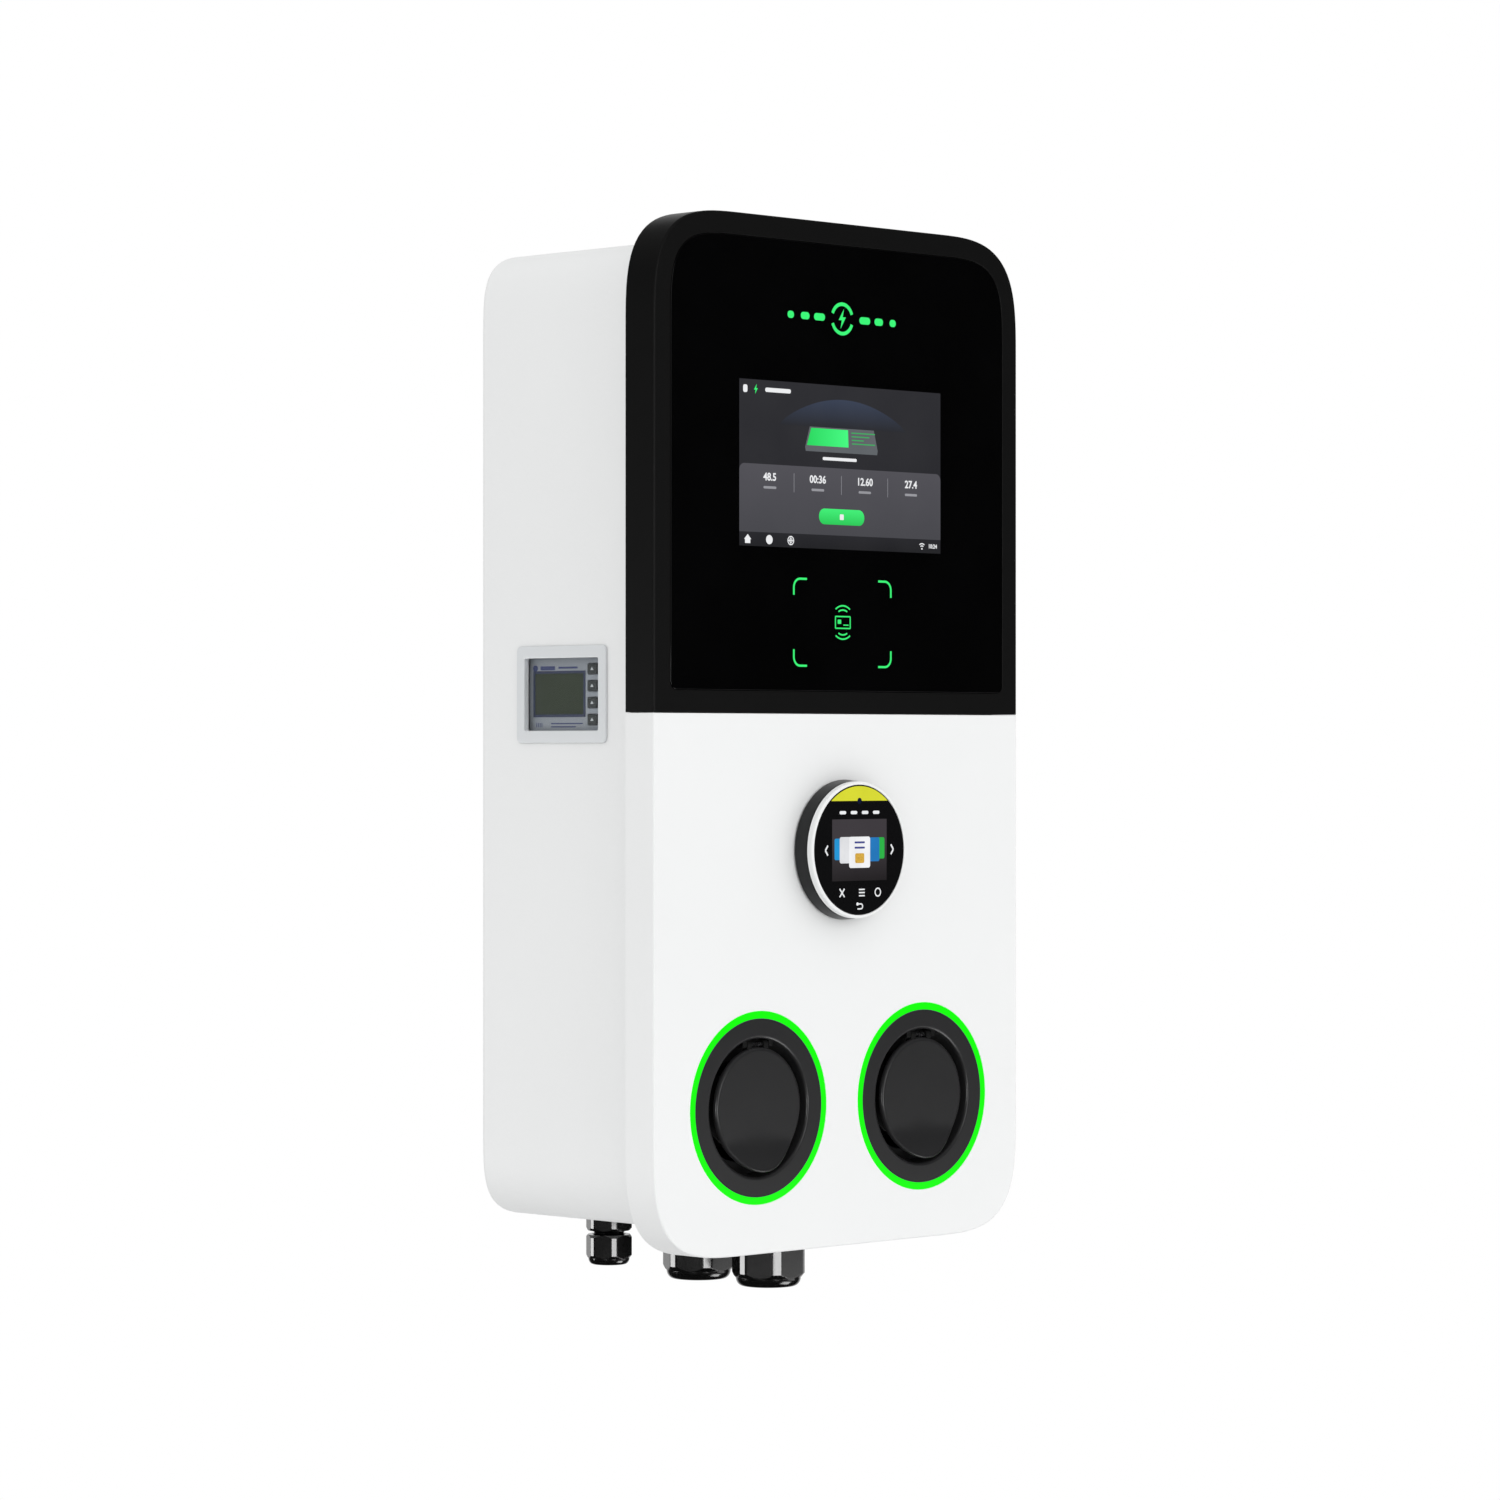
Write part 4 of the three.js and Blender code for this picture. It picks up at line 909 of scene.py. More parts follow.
def gland(name):
    """Hexagon collar, threaded neck, hexagon cap nut with chamfered ends, dome and rubber seal."""
    low, high = extent(name + "_nut")
    body_top = extent(name + "_body")[1].z
    x, y = (low.x + high.x) / 2, (low.y + high.y) / 2
    corner = (high.x - low.x) / 2
    base = COVER_BOTTOM + COVER_HALF - HOUSING_SIDE
    large = corner > 18
    thread, bore, collar_height = (16, 10.5, 10) if large else (10, 5.6, 10.3)
    nut_height, dome = (26.5, 5.7) if large else (14.4, 4.1)
    collar_top = base - GAP
    collar_low = collar_top - collar_height
    nut_top = high.z
    nut_low = nut_top - nut_height
    end = low.z
    cut_angle = math.radians(5.5)
    count = 180

    def hexagon(turn):
        """Radius of the hexagon with cut corners, its flats facing the front and the wall."""
        sector = (turn + math.pi / 6) % (math.pi / 3) - math.pi / 6
        flat = corner * math.cos(math.pi / 6 - cut_angle) / math.cos(math.pi / 6 - abs(sector))
        chop = corner * math.cos(cut_angle) / math.cos(sector)
        return min(flat, chop)

    def ring(limit, z):
        points = []
        for step in range(count):
            turn = 2 * math.pi * (step + 0.5) / count
            radius = min(limit, hexagon(turn))
            points.append((x + radius * math.cos(turn), y + radius * math.sin(turn), z))
        return points

    def chamfer(z, inwards):
        """Radius limits and heights that cut the hexagon's corners back at one end."""
        flat = corner * math.cos(math.pi / 6 - cut_angle)
        cut = corner - flat
        steps = 8
        return [(flat + cut * GLAND_CUT_REACH * part / steps,
                 z + inwards * GLAND_CUT_SLOPE * cut * part / steps) for part in range(steps + 1)]

    def tube(shell, profile, turns=96):
        rings = shell.loft([(a, b, z) for a, b in circle(radius, x, y, turns)] for radius, z in profile)
        shell.bridge(rings[-1], rings[0])

    shell = Shell()
    rings = [ring(limit, z) for limit, z in chamfer(collar_low, 1)] + [ring(corner, collar_top)]
    hole = [[(a, b, z) for a, b in circle(bore + 0.4, x, y, count)] for z in (collar_top, collar_low)]
    outer = shell.loft(rings)
    inner = shell.loft(hole)
    shell.bridge(outer[-1], inner[0])
    shell.bridge(outer[0], inner[-1])
    profile = []
    pitch, depth = 1.5, 0.55
    z = collar_top - 0.5
    while z > nut_low + 2:
        profile += [(thread * 0.98, z), (thread * 0.98 - depth, z - pitch / 2)]
        z -= pitch
    profile += [(bore, z), (bore, collar_top - 0.5)]
    tube(shell, profile)
    tube(shell, [(bore, collar_top - 1), (thread, collar_top - 1), (thread, body_top - 0.5),
                 (thread - 0.5, body_top), (bore, body_top)])
    build(name + "_collar", shell, "gland_plastic", stands_for=[name + "_body"], sharp=20)

    shell = Shell()
    rings = [ring(limit, z) for limit, z in chamfer(nut_top, -1)]
    lower = chamfer(nut_low, 1)
    lower.reverse()
    rings += [ring(limit, z) for limit, z in lower]
    shoulder = corner * 0.885
    rings.append([(a, b, nut_low - 0.2) for a, b in shifted_circle(shoulder, x, y, count)])
    for step in range(1, 9):
        turn = step / 8 * math.pi / 2
        radius = shoulder - (shoulder - corner * 0.7) * (1 - math.cos(turn))
        rings.append([(a, b, nut_low - 0.2 - (dome - 0.2) * math.sin(turn))
                      for a, b in shifted_circle(radius, x, y, count)])
    mouth = bore + 1.4
    rings += [[(a, b, z) for a, b in shifted_circle(radius, x, y, count)] for radius, z in (
        (mouth + 0.6, end), (mouth, end + 0.6), (mouth, end + 3),
        (thread + GAP, end + 5), (thread + GAP, nut_top))]
    made = shell.loft(rings)
    shell.bridge(made[-1], made[0])
    build(name + "_cap_nut", shell, "gland_plastic", stands_for=[name + "_nut"], sharp=20)

    shell = Shell()
    tube(shell, [(mouth - 0.1, end + 0.9), (bore + 0.4, end + 0.5), (bore - 0.3, end + 0.9),
                 (bore - 0.6, end + 3), (bore - 0.6, end + 14), (mouth - 0.6, end + 14)])
    build(name + "_seal", shell, "gasket_rubber")


def shifted_circle(radius, x, y, count):
    """A circle whose points line up with the hexagon's."""
    turns = [2 * math.pi * (step + 0.5) / count for step in range(count)]
    return [(x + radius * math.cos(turn), y + radius * math.sin(turn)) for turn in turns]


# ---- Flat marks on a face ----


def front_face(depth):
    """Places (x, z, height above the face) on a plane that faces the front."""
    return lambda across, up, out: (across, FRONT + depth - out, up)


def side_face(side, reach):
    """Places (depth, z, height above the face) on a plane that faces the left or the right."""
    return lambda across, up, out: (side * (reach + out), FRONT + across, up)


def prism(shell, place, outline, low, high):
    loops = shell.loft([place(u, v, out) for u, v in outline] for out in (low, high))
    shell.cap(loops[0])
    shell.cap(loops[1])


def panel(cx, cz, width, height, radius=0.0, top_only=False):
    """A rectangle with round corners as (u, v) points."""
    if radius <= 0:
        w, h = width / 2, height / 2
        return [(cx - w, cz - h), (cx + w, cz - h), (cx + w, cz + h), (cx - w, cz + h)]
    points = []
    for sx, sz, start in ((1, 1, 0), (-1, 1, 90), (-1, -1, 180), (1, -1, 270)):
        bend = 0.02 if top_only and sz < 0 else radius
        for step in range(7):
            turn = math.radians(start + 15 * step)
            points.append((cx + sx * (width / 2 - bend) + bend * math.cos(turn),
                           cz + sz * (height / 2 - bend) + bend * math.sin(turn)))
    return points


def disc(cx, cz, radius, count=32):
    return circle(radius, cx, cz, count)


def band(cx, cz, radius, width, start, end, steps=24):
    """A stretch of a ring as (u, v) points, angles in degrees."""
    turns = [math.radians(start + (end - start) * step / steps) for step in range(steps + 1)]
    outer, inner = [[(cx + reach * math.cos(turn), cz + reach * math.sin(turn)) for turn in turns]
                    for reach in (radius + width / 2, radius - width / 2)]
    return outer + inner[::-1]


def hoop(cx, cz, radius, width):
    return [band(cx, cz, radius, width, 0, 180), band(cx, cz, radius, width, 180, 360)]


def stroke(start, end, width):
    """A straight line with square ends as (u, v) points."""
    (x0, z0), (x1, z1) = start, end
    length = math.hypot(x1 - x0, z1 - z0)
    nx, nz = -(z1 - z0) / length * width / 2, (x1 - x0) / length * width / 2
    return [(x0 + nx, z0 + nz), (x0 - nx, z0 - nz), (x1 - nx, z1 - nz), (x1 + nx, z1 + nz)]


def path(points, width):
    return [stroke(here, there, width) for here, there in zip(points, points[1:])]


def bolt(cx, cz, height):
    """A small lightning mark."""
    unit = height / 10
    shape = [(1.2, 5), (-2.6, -0.7), (-0.3, -0.7), (-1.2, -5), (2.6, 0.9), (0.3, 0.9)]
    return [(cx + u * unit, cz + v * unit) for u, v in shape]


def digits(shell, place, text, cx, cz, height, low, high):
    """Plain numerals as thin solids, centred on a point."""
    curve = bpy.data.curves.new("numerals", "FONT")
    curve.body = text
    curve.align_x = "CENTER"
    curve.align_y = "CENTER"
    curve.size = height * 1.4
    curve.resolution_u = 3
    curve.offset = height * 0.035
    curve.extrude = 0.5
    holder = bpy.data.objects.new("numerals", curve)
    bpy.context.scene.collection.objects.link(holder)
    depsgraph = bpy.context.evaluated_depsgraph_get()
    mesh = bpy.data.meshes.new_from_object(holder.evaluated_get(depsgraph))
    first = len(shell.points)
    for vertex in mesh.vertices:
        u, v, out = vertex.co
        shell.points.append(place(cx + u, cz + v, high if out > 0 else low))
    for polygon in mesh.polygons:
        shell.faces.append(tuple(first + index for index in polygon.vertices))
    bpy.data.objects.remove(holder)
    bpy.data.curves.remove(curve)
    bpy.data.meshes.remove(mesh)


def print_marks(name, place, outlines, low, high, slot, material, texts=()):
    """One piece that holds a group of flat marks of one colour."""
    shell = Shell()
    for outline in outlines:
        prism(shell, place, outline, low, high)
    for text, cx, cz, height in texts:
        digits(shell, place, text, cx, cz, height, low, high)
    piece = mesh_object(name, shell, 30)
    settle(piece, slot, material=material)


# ---- Display graphics ----


def display_graphics():
    place = front_face(0)
    left, right, bottom, top = SCREEN["left"], SCREEN["right"], SCREEN["bottom"], SCREEN["top"]
    centre = (left + right) / 2
    width = right - left
    green = lit("screen_green", GREEN, 1.0)
    white = lit("screen_white", screen_colour(235, 236, 238), 1.0)
    pale = lit("screen_pale", screen_colour(150, 150, 156), 1.0)

    field = faded("screen_field", screen_colour(40, 40, 44), screen_colour(46, 46, 50), bottom, top)
    print_marks("screen_field", place, [panel(centre, (bottom + top) / 2, width, top - bottom)],
                -0.05, 0.03, "black_glass", field)

    hill = [(-55 + 112 * k / 24, 187 + 17.5 * math.sin(math.pi * k / 24) ** 0.75) for k in range(25)]
    hill_glow = faded("screen_hill", screen_colour(42, 43, 48), screen_colour(58, 66, 84), 187, 204)
    print_marks("screen_silhouette", place, [hill], 0.02, 0.05, "black_glass", hill_glow)

    tray = [(-28.5, 187), (28, 187), (31.5, 174.5), (-32.5, 174.5)]
    skirt = [(-32.5, 174.5), (31.5, 174.5), (31, 172), (-32, 172)]
    print_marks("screen_pack_tray", place, [tray, skirt], 0.04, 0.07, "black_glass",
                lit("screen_tray", screen_colour(96, 100, 104)))
    charge = [(-27.3, 186.2), (5, 186.2), (5.5, 175.6), (-31, 175.6)]
    charge_glow = faded("screen_charge", screen_colour(40, 215, 95), screen_colour(70, 250, 130), -31, 5, "X")
    print_marks("screen_pack_charge", place, [charge], 0.07, 0.1, "black_glass", charge_glow)
    stripes = [stroke((8 + k * 0.2, 184.6 - k * 2.2), (29 - (k % 3) * 5, 184.6 - k * 2.2), 0.7)
               for k in range(4)]
    print_marks("screen_pack_stripes", place, stripes, 0.07, 0.1, "black_glass",
                lit("screen_stripe", screen_colour(64, 170, 96)))

    lower_top, bar_top = 162.5, 121.5
    lower_glow = faded("screen_lower", screen_colour(72, 72, 77), screen_colour(82, 81, 87),
                       bar_top, lower_top)
    print_marks("screen_lower_panel", place,
                [panel(centre, (lower_top + bar_top) / 2, width, lower_top - bar_top, 4, True)],
                0.02, 0.06, "black_glass", lower_glow)

    columns = (-63, -21.5, 20, 61.5)
    values = ("48.5", "00:36", "12.60", "27.4")
    texts = [(value, column, 154.8, 4.6) for value, column in zip(values, columns)]
    texts.append(("10:24", 81.3, 117.2, 2.6))
    icons = [panel(-56, 207.3, 22, 2.6, 1.2), panel(-84, 207.3, 3.6, 4.6, 1.2)]
    icons += [panel(centre - 2, 168, 30, 1.9, 0.9)]
    house = [(-85, 117), (-82, 120), (-79, 117), (-79.8, 117), (-79.8, 114.6), (-84.2, 114.6), (-84.2, 117)]
    icons += [house, disc(-63.5, 117.2, 2.8)]
    icons += hoop(-45, 117.2, 2.5, 0.6) + hoop(-45, 117.2, 1.2, 0.45)
    icons += [stroke((-47.5, 117.2), (-42.5, 117.2), 0.5), stroke((-45, 114.7), (-45, 119.7), 0.5)]
    icons += [band(71.5, 115.4, radius, 0.7, 50, 130) for radius in (3.4, 2)]
    icons.append(disc(71.5, 115.6, 0.6, 12))
    print_marks("screen_white_marks", place, icons, 0.05, 0.12, "black_glass", white, texts)

    labels = [panel(column, 148.6, 11, 1.5, 0.7) for column in columns]
    labels += [stroke((cut, 146.5), (cut, 158), 0.3) for cut in (-42.2, -0.8, 40.5)]
    print_marks("screen_pale_marks", place, labels, 0.05, 0.1, "black_glass", pale)
    button_glow = faded("screen_button", screen_colour(44, 200, 88), screen_colour(66, 240, 120), 128, 137.5)
    print_marks("screen_button", place, [panel(-0.5, 132.8, 40, 9.6, 4.7)], 0.05, 0.11,
                "black_glass", button_glow)
    print_marks("screen_button_mark", place, [panel(-0.5, 132.8, 3.4, 3.4, 0.5)], 0.1, 0.15,
                "black_glass", white)
    print_marks("screen_bolt", place, [bolt(-75, 207.3, 6)], 0.05, 0.1, "black_glass", green)
    bar_glow = faded("screen_bar", screen_colour(34, 34, 37), screen_colour(40, 40, 44), bottom, bar_top)
    print_marks("screen_bottom_bar", place, [panel(centre, (bottom + bar_top) / 2, width, bar_top - bottom)],
                0.02, 0.045, "black_glass", bar_glow)


def glass_graphics():
    """The green marks on the dark glass: a generic charging mark and the card reader's target."""
    place = front_face(0)
    green = lit("glass_green", GREEN, 1.0)
    badge = [band(0, 254, 9, 2.2, 20, 160), band(0, 254, 9, 2.2, 200, 340), bolt(0, 254, 12)]
    bars = [panel(side * (20 + 12.5 * k), 254, 9.5 - 2 * k, 4.4, 2.1) for side, _ in SIDES for k in range(3)]
    print_marks("charging_mark", place, badge + bars, -0.02, 0.08, "black_glass", green)

    left, right, low, high, bend, line = -43, 44, 41, 95, 6, 1.3
    brackets = []
    for x, sx in ((left, 1), (right, -1)):
        for z, sz in ((low, 1), (high, -1)):
            start = {(1, 1): 180, (-1, 1): 270, (-1, -1): 0, (1, -1): 90}[(sx, sz)]
            brackets.append(band(x + sx * bend, z + sz * bend, bend - line / 2, line, start, start + 90, 10))
            level, upright = z + sz * line / 2, x + sx * line / 2
            brackets.append(stroke((x + sx * bend, level), (x + sx * 12, level), line))
            brackets.append(stroke((upright, z + sz * bend), (upright, z + sz * 10.5), line))
    cx, cz = 0.5, 68.5
    card = path([(cx - 6.5, cz - 3.6), (cx + 6.5, cz - 3.6), (cx + 6.5, cz + 3.6), (cx - 6.5, cz + 3.6),
                 (cx - 6.5, cz - 3.6)], 0.8)
    card += [panel(cx - 3, cz + 0.4, 3, 2.6, 0.4), stroke((cx + 0.5, cz - 1.6), (cx + 5, cz - 1.6), 0.7)]
    waves = [band(cx, cz, radius, 0.9, start, start + width) for radius, width in ((10.2, 76), (7.6, 60))
             for start in (90 - width / 2, 270 - width / 2)]
    print_marks("card_target", place, brackets + card + waves, -0.02, 0.08, "black_glass", green)


def terminal_graphics():
    place = front_face(TERMINAL_FACE + 0.2)
    z = TERMINAL_Z
    white = lit("terminal_white", screen_colour(236, 238, 240), 1.0)
    chord = 29.9
    half = math.degrees(math.acos(chord / 38.9))
    turns = [math.radians(90 - half + 2 * half * step / 40) for step in range(41)]
    cap_outline = [(38.9 * math.cos(turn), z + 38.9 * math.sin(turn)) for turn in turns]
    yellow = lit("terminal_yellow", screen_colour(208, 210, 48), 0.82, 0.02, 40, 0.2)
    print_marks("terminal_yellow_cap", place, [cap_outline], -0.03, 0.04, "black_glass", yellow)
    print_marks("terminal_sensor", place, [disc(0, z + chord, 1.9)], 0.03, 0.09, "black_glass",
                printed("terminal_sensor", screen_colour(16, 22, 44), 0.2, 0.1))
    dashes = [panel(-14.7 + 9.8 * k, z + 22.8, 5.7, 2, 0.95) for k in range(4)]
    arrows = []
    for side, _ in SIDES:
        arrows += path([(side * 27.8, z + 3), (side * 30, z), (side * 27.8, z - 3)], 1.1)
    keys = path([(-17.5, z - 28.4), (-13.3, z - 23.4)], 0.9)
    keys += path([(-17.5, z - 23.4), (-13.3, z - 28.4)], 0.9)
    keys += [stroke((-0.5, z - 26 + k), (4.5, z - 26 + k), 0.8) for k in (-1.9, 0, 1.9)]
    keys += hoop(16.2, z - 26, 2.4, 0.8)
    keys += [stroke((-1.8, z - 32.9), (1.2, z - 32.9), 0.8), band(1.2, z - 34.4, 1.5, 0.8, -90, 90, 12),
             stroke((-1.8, z - 35.9), (1.2, z - 35.9), 0.8), disc(-1.8, z - 32.9, 1, 12)]
    print_marks("terminal_white_marks", place, dashes + arrows + keys, -0.02, 0.06, "black_glass", white)

    field = faded("terminal_field", screen_colour(34, 31, 33), screen_colour(62, 58, 62), z - 19, z + 6)
    print_marks("terminal_screen", place, [panel(0, z, 48, 37.5)], -0.02, 0.04, "black_glass", field)
    cards = [
        ("terminal_card_blue", panel(-16, z + 0.6, 12, 13, 1.2), 0.03, 0.07, screen_colour(38, 150, 214)),
        ("terminal_card_green", panel(17.5, z + 1, 9, 13, 1.2), 0.03, 0.07, screen_colour(46, 180, 72)),
        ("terminal_card_navy", panel(11.5, z + 0.2, 12, 14.6, 1.2), 0.05, 0.09, screen_colour(38, 122, 190)),
        ("terminal_card_rear", panel(-4.5, z, 26, 16, 1.4), 0.07, 0.11, screen_colour(226, 227, 230)),
        ("terminal_card_front", panel(0, z - 1.4, 18.5, 19, 1.5), 0.1, 0.14, screen_colour(242, 243, 245)),
    ]
    for name, outline, low, high, colour in cards:
        print_marks(name, place, [outline], low, high, "black_glass", lit(name, colour, 0.95, 0.05, 90))
    strokes = [panel(0, z + 4.6, 9, 1.2, 0.4), panel(0, z + 1.4, 9, 1.2, 0.4)]
    print_marks("terminal_card_lines", place, strokes, 0.13, 0.17, "black_glass",
                lit("terminal_card_line", screen_colour(70, 76, 140)))
    print_marks("terminal_card_chip", place, [panel(0, z - 5, 8, 6, 1)], 0.13, 0.17, "black_glass",
                lit("terminal_card_chip", screen_colour(214, 170, 70), 0.95, 0.2, 900))


# ---- Meter windows ----


def side_ring(side, half_depth, half_height, bend, reach):
    outline = panel(METER_DEPTH, METER_Z, 2 * half_depth, 2 * half_height, bend)
    return [(side * reach, FRONT + depth, z) for depth, z in outline]


def meter_window(side, label):
    out = WINDOW_FACE
    shell = Shell()
    profile = [
        (WINDOW_HALF_DEPTH, WINDOW_HALF_HEIGHT, 3, HOUSING_SIDE + GAP),
        (WINDOW_HALF_DEPTH, WINDOW_HALF_HEIGHT, 3, out - 0.6),
        (WINDOW_HALF_DEPTH - 0.2, WINDOW_HALF_HEIGHT - 0.2, 3, out - 0.2),
        (WINDOW_HALF_DEPTH - 0.6, WINDOW_HALF_HEIGHT - 0.6, 3, out),
        (FACE_HALF_DEPTH + 0.8, FACE_HALF_HEIGHT + 0.8, 1.6, out),
        (FACE_HALF_DEPTH + 0.2, FACE_HALF_HEIGHT + 0.2, 1.4, out - 0.2),
        (FACE_HALF_DEPTH, FACE_HALF_HEIGHT, 1.2, out - 0.8),
        (FACE_HALF_DEPTH, FACE_HALF_HEIGHT, 1.2, HOUSING_SIDE - 2),
        (36, 26, 2, HOUSING_SIDE - 2),
        (36, 26, 2, HOUSING_SIDE + GAP),
    ]
    rings = shell.loft(side_ring(side, *row) for row in profile)
    shell.bridge(rings[-1], rings[0])
    build("window_frame_" + label, shell, "window_clear", stands_for=["meter_window_" + label])

    shell = Shell()
    rings = shell.loft(side_ring(side, FACE_HALF_DEPTH - cut, FACE_HALF_HEIGHT - cut, 1.1, reach)
                       for cut, reach in ((0.5, HOUSING_SIDE + 0.3), (0.1, HOUSING_SIDE),
                                          (0.1, HOUSING_SIDE - 1.2)))
    shell.face(rings[0])
    shell.face(rings[-1])
    build("window_pane_" + label, shell, "window_clear", material=PANE)


def meter_face(side, label):
    """Printed face, display and generic marks on the energy meter."""
    place = side_face(side, METER_X)
    z = METER_Z
    lcd_near, lcd_far, lcd_low, lcd_high = 83.2, 126.1, 12.1, 36.9
    across, up = (lcd_near + lcd_far) / 2, (lcd_low + lcd_high) / 2
    width, height = lcd_far - lcd_near, lcd_high - lcd_low
    line = 1.6
    border = [panel(across, up + end * (height + line) / 2, width + 2 * line, line) for end in (1, -1)]
    border += [panel(across + end * (width + line) / 2, up, line, height) for end in (-1, 1)]
    print_marks("meter_display_rim_" + label, place, border, -0.05, 0.25, "meter_grey",
                printed("meter_rim_" + label, screen_colour(44, 54, 84)))
    print_marks("meter_display_" + label, place, [panel(across, up, width, height)], -0.05, 0.1, "meter_grey",
                printed("meter_lcd_" + label, screen_colour(52, 60, 47), 0.1, 0.16, 12))
    marks = [panel(126, z + 16, 4.4, 3.4, 1.6), panel(115, z + 16, 13, 2.4, 0.6),
             panel(97, z + 16.2, 17, 1.2, 0.4)]
    marks += [stroke((125 - 1.6 * k, z - 19.8), (125 - 1.6 * k, z - 17.2), 0.6) for k in range(4)]
    marks += [stroke((112, z - 17.6), (84, z - 17.6), 0.7), stroke((112, z - 19.6), (90, z - 19.6), 0.7)]
    print_marks("meter_marks_" + label, place, marks, -0.03, 0.05, "meter_grey",
                printed("meter_mark_" + label, screen_colour(54, 64, 112)))
    for index in range(1, 5):
        name = "meter_key_%s_%d" % (label, index)
        centre = middle(name)
        top = side_face(side, abs(extent(name)[0 if side < 0 else 1].x))
        depth = centre.y - FRONT
        arrows = [[(depth - 1.4, centre.z - 0.8), (depth + 1.4, centre.z - 0.8), (depth, centre.z + 1.1)]]
        shell = Shell()
        prism(shell, top, arrows[0], -0.03, 0.04)
        piece = mesh_object("key_mark_%s_%d" % (label, index), shell)
        settle(piece, "meter_key", "key_%s_%d" % (label, index), KEY_MARK)


# ---- Build everything ----

lower_cover()
upper_cover()
display_panel()
rear_shell()
terminal()
for side, label in SIDES:
    light_ring(side, label)
    bezel(side, label)
    flap(side, label)
    insert(side, label)
    meter_window(side, label)
    meter_face(side, label)
for gland_name in GLANDS:
    gland(gland_name)
display_graphics()
glass_graphics()
terminal_graphics()

# ---- The CAD nodes that stay ----

BEVELS = {
    "wall_bracket": 0.5, "touch_display": 1.0, "main_board": 0.2, "card_reader_board": 0.2,
    "lock_actuator": 1.2, "contactor": 0.8, "residual_breaker": 0.8, "breaker_toggle": 0.6,
    "terminal_block": 0.6, "power_supply": 1.2, "energy_meter": 0.5, "meter_key": 0.45, "din_rail": 0.15,
    "cover_screw": 0.3,
}
for row in frame["record"]["subparts"]:
    node = frame["nodes"][row["node"]]
    node.data.materials.clear()
    node.data.materials.append(MATERIALS[row["material_slot"]])
    for start, width in BEVELS.items():
        if row["node"].startswith(start):
            soften(node, width, 3)

# The hinge pins and springs take the darkened steel: painted shade of the hinge notch.
for label in ("left", "right"):
    for start in ("flap_hinge_pin_", "flap_spring_"):
        frame["nodes"][start + label].data.materials[0] = SHADED_HINGE_STEEL

# ---- Floor and light ----


def floor():
    shell = Shell()
    reach = 4300
    count = 64
    rings = shell.loft([[(a, b, z) for a, b in circle(radius, 0, -500, count)] for radius, z in (
        (reach, -MOUNT_HEIGHT / MM), (reach, -MOUNT_HEIGHT / MM - 20))])
    shell.face(rings[0])
    shell.face(rings[1])
    made = mesh_object("studio_floor", shell)
    surface = Surface("studio_floor", 0.7, specular=0.2)
    surface.vary((0.82, 0.82, 0.82, 1), 0.01, 0.7)
    made.data.materials.append(surface.material)
    made.visible_glossy = False


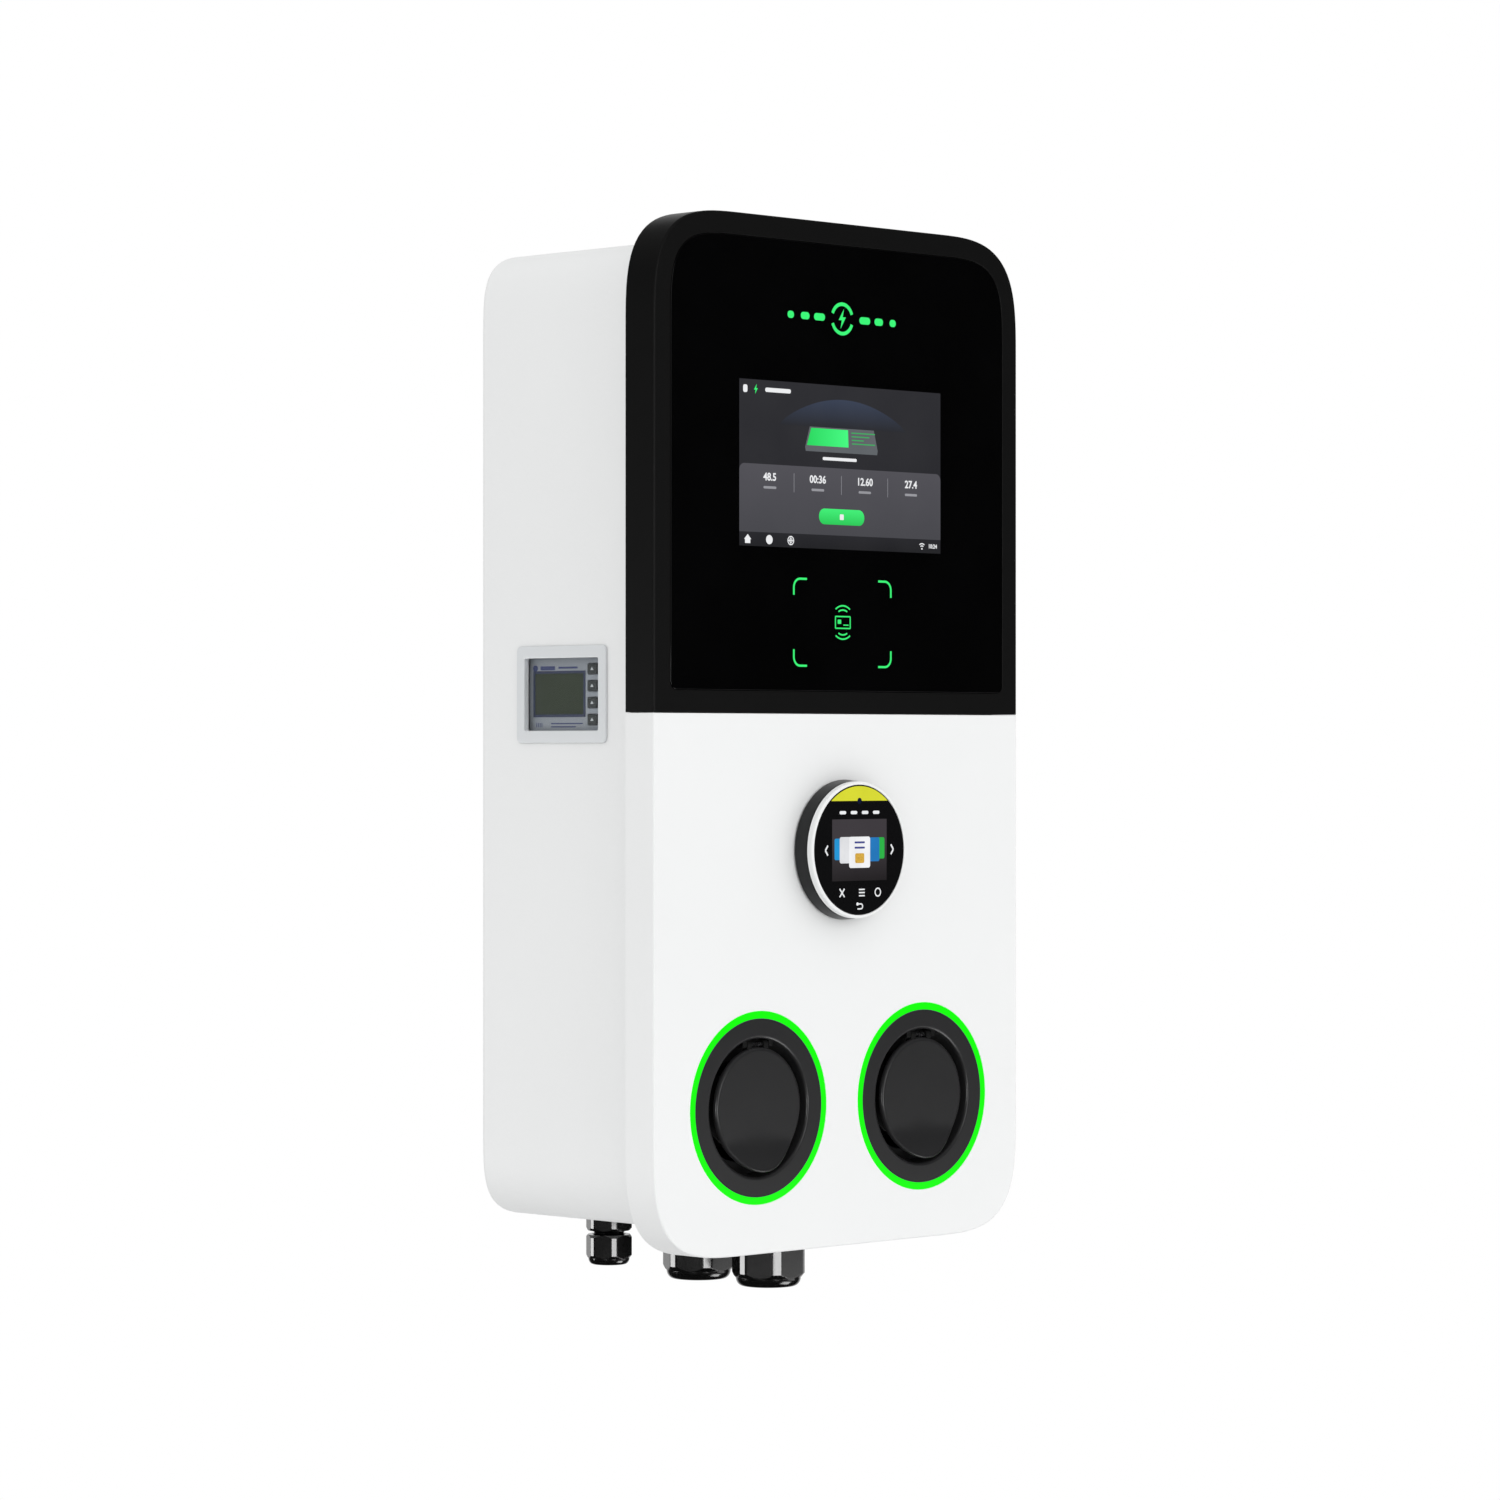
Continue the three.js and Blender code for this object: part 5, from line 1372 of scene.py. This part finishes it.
def studio_world():
    """White to the camera, an even soft light for matt surfaces, and a dim one for reflections."""
    world = bpy.data.worlds.new("studio")
    bpy.context.scene.world = world
    world.use_nodes = True
    tree = world.node_tree
    tree.nodes.clear()
    output = tree.nodes.new("ShaderNodeOutputWorld")
    rays = tree.nodes.new("ShaderNodeLightPath")
    place = tree.nodes.new("ShaderNodeTexCoord")
    split = tree.nodes.new("ShaderNodeSeparateXYZ")
    tree.links.new(place.outputs["Generated"], split.inputs["Vector"])

    def field(low, high, start, end):
        span_node = tree.nodes.new("ShaderNodeMapRange")
        span_node.inputs["From Min"].default_value = start
        span_node.inputs["From Max"].default_value = end
        span_node.inputs["To Min"].default_value = low
        span_node.inputs["To Max"].default_value = high
        tree.links.new(split.outputs["Z"], span_node.inputs["Value"])
        background = tree.nodes.new("ShaderNodeBackground")
        background.inputs["Color"].default_value = (1, 1, 1, 1)
        tree.links.new(span_node.outputs["Result"], background.inputs["Strength"])
        return background.outputs["Background"]

    def mix(factor, first, second):
        node = tree.nodes.new("ShaderNodeMixShader")
        tree.links.new(factor, node.inputs["Fac"])
        tree.links.new(first, node.inputs[1])
        tree.links.new(second, node.inputs[2])
        return node.outputs["Shader"]

    def glow_behind(base):
        """Adds the bright backdrop that edges mirror when they are seen at a glancing angle."""
        facing = tree.nodes.new("ShaderNodeVectorMath")
        facing.operation = "DOT_PRODUCT"
        facing.inputs[1].default_value = (math.sqrt(0.5), math.sqrt(0.5), 0)
        tree.links.new(place.outputs["Generated"], facing.inputs[0])
        reach = tree.nodes.new("ShaderNodeMapRange")
        reach.inputs["From Min"].default_value = 0.72
        reach.inputs["From Max"].default_value = 0.9
        tree.links.new(facing.outputs["Value"], reach.inputs["Value"])
        return mix(reach.outputs["Result"], base, field(1.0, 1.0, -1, 1))

    # Matt surfaces see soft, glossy ones see dim with the backdrop, and the camera sees white.
    soft = field(0.925, 1.1, -1, 1)
    dim = field(0.012, 0.25, 0.3, 0.95)
    white = field(1.0, 1.0, -1, 1)
    lighting = mix(rays.outputs["Is Glossy Ray"], soft, glow_behind(dim))
    tree.links.new(mix(rays.outputs["Is Camera Ray"], lighting, white), output.inputs["Surface"])


def area_light(name, place, target, size, power, gloss_only=False):
    """A rectangular light; one that is gloss_only shows in reflections and lights no matt surface."""
    data = bpy.data.lights.new(name, "AREA")
    data.shape = "RECTANGLE"
    data.size, data.size_y = size
    data.energy = power
    light = bpy.data.objects.new(name, data)
    bpy.context.scene.collection.objects.link(light)
    light.location = place
    light.rotation_euler = (Vector(target) - Vector(place)).to_track_quat("-Z", "Y").to_euler()
    light.visible_diffuse = not gloss_only


def around(angle, distance, height):
    """A place round the object; the angle is in degrees from +X towards +Y."""
    turn = math.radians(angle)
    return (distance * math.cos(turn), distance * math.sin(turn), height)


floor()
studio_world()
area_light("front_softbox", (-0.35, -3.2, 0.5), (0, 0, 0), (1.6, 1.6), 16)
low_target = (0, -0.08, -0.33)
area_light("front_strip", around(255, 2.4, -0.62), low_target, (0.5, 0.45), 8, True)
area_light("rear_strip", around(135, 2.4, -0.62), low_target, (0.6, 0.45), 8, True)
area_light("low_right_panel", around(315, 2.4, -0.85), low_target, (1.4, 0.6), 3.2, True)
area_light("left_kicker", around(208, 2.6, -0.35), (0, -0.1, -0.25), (0.3, 0.9), 12, True)
area_light("low_kicker", around(298, 1.1, -1.15), (0, -0.15, -0.25), (0.7, 0.5), 6, True)
bpy.context.scene.view_settings.view_transform = "Standard"
bpy.context.scene.view_settings.look = "None"
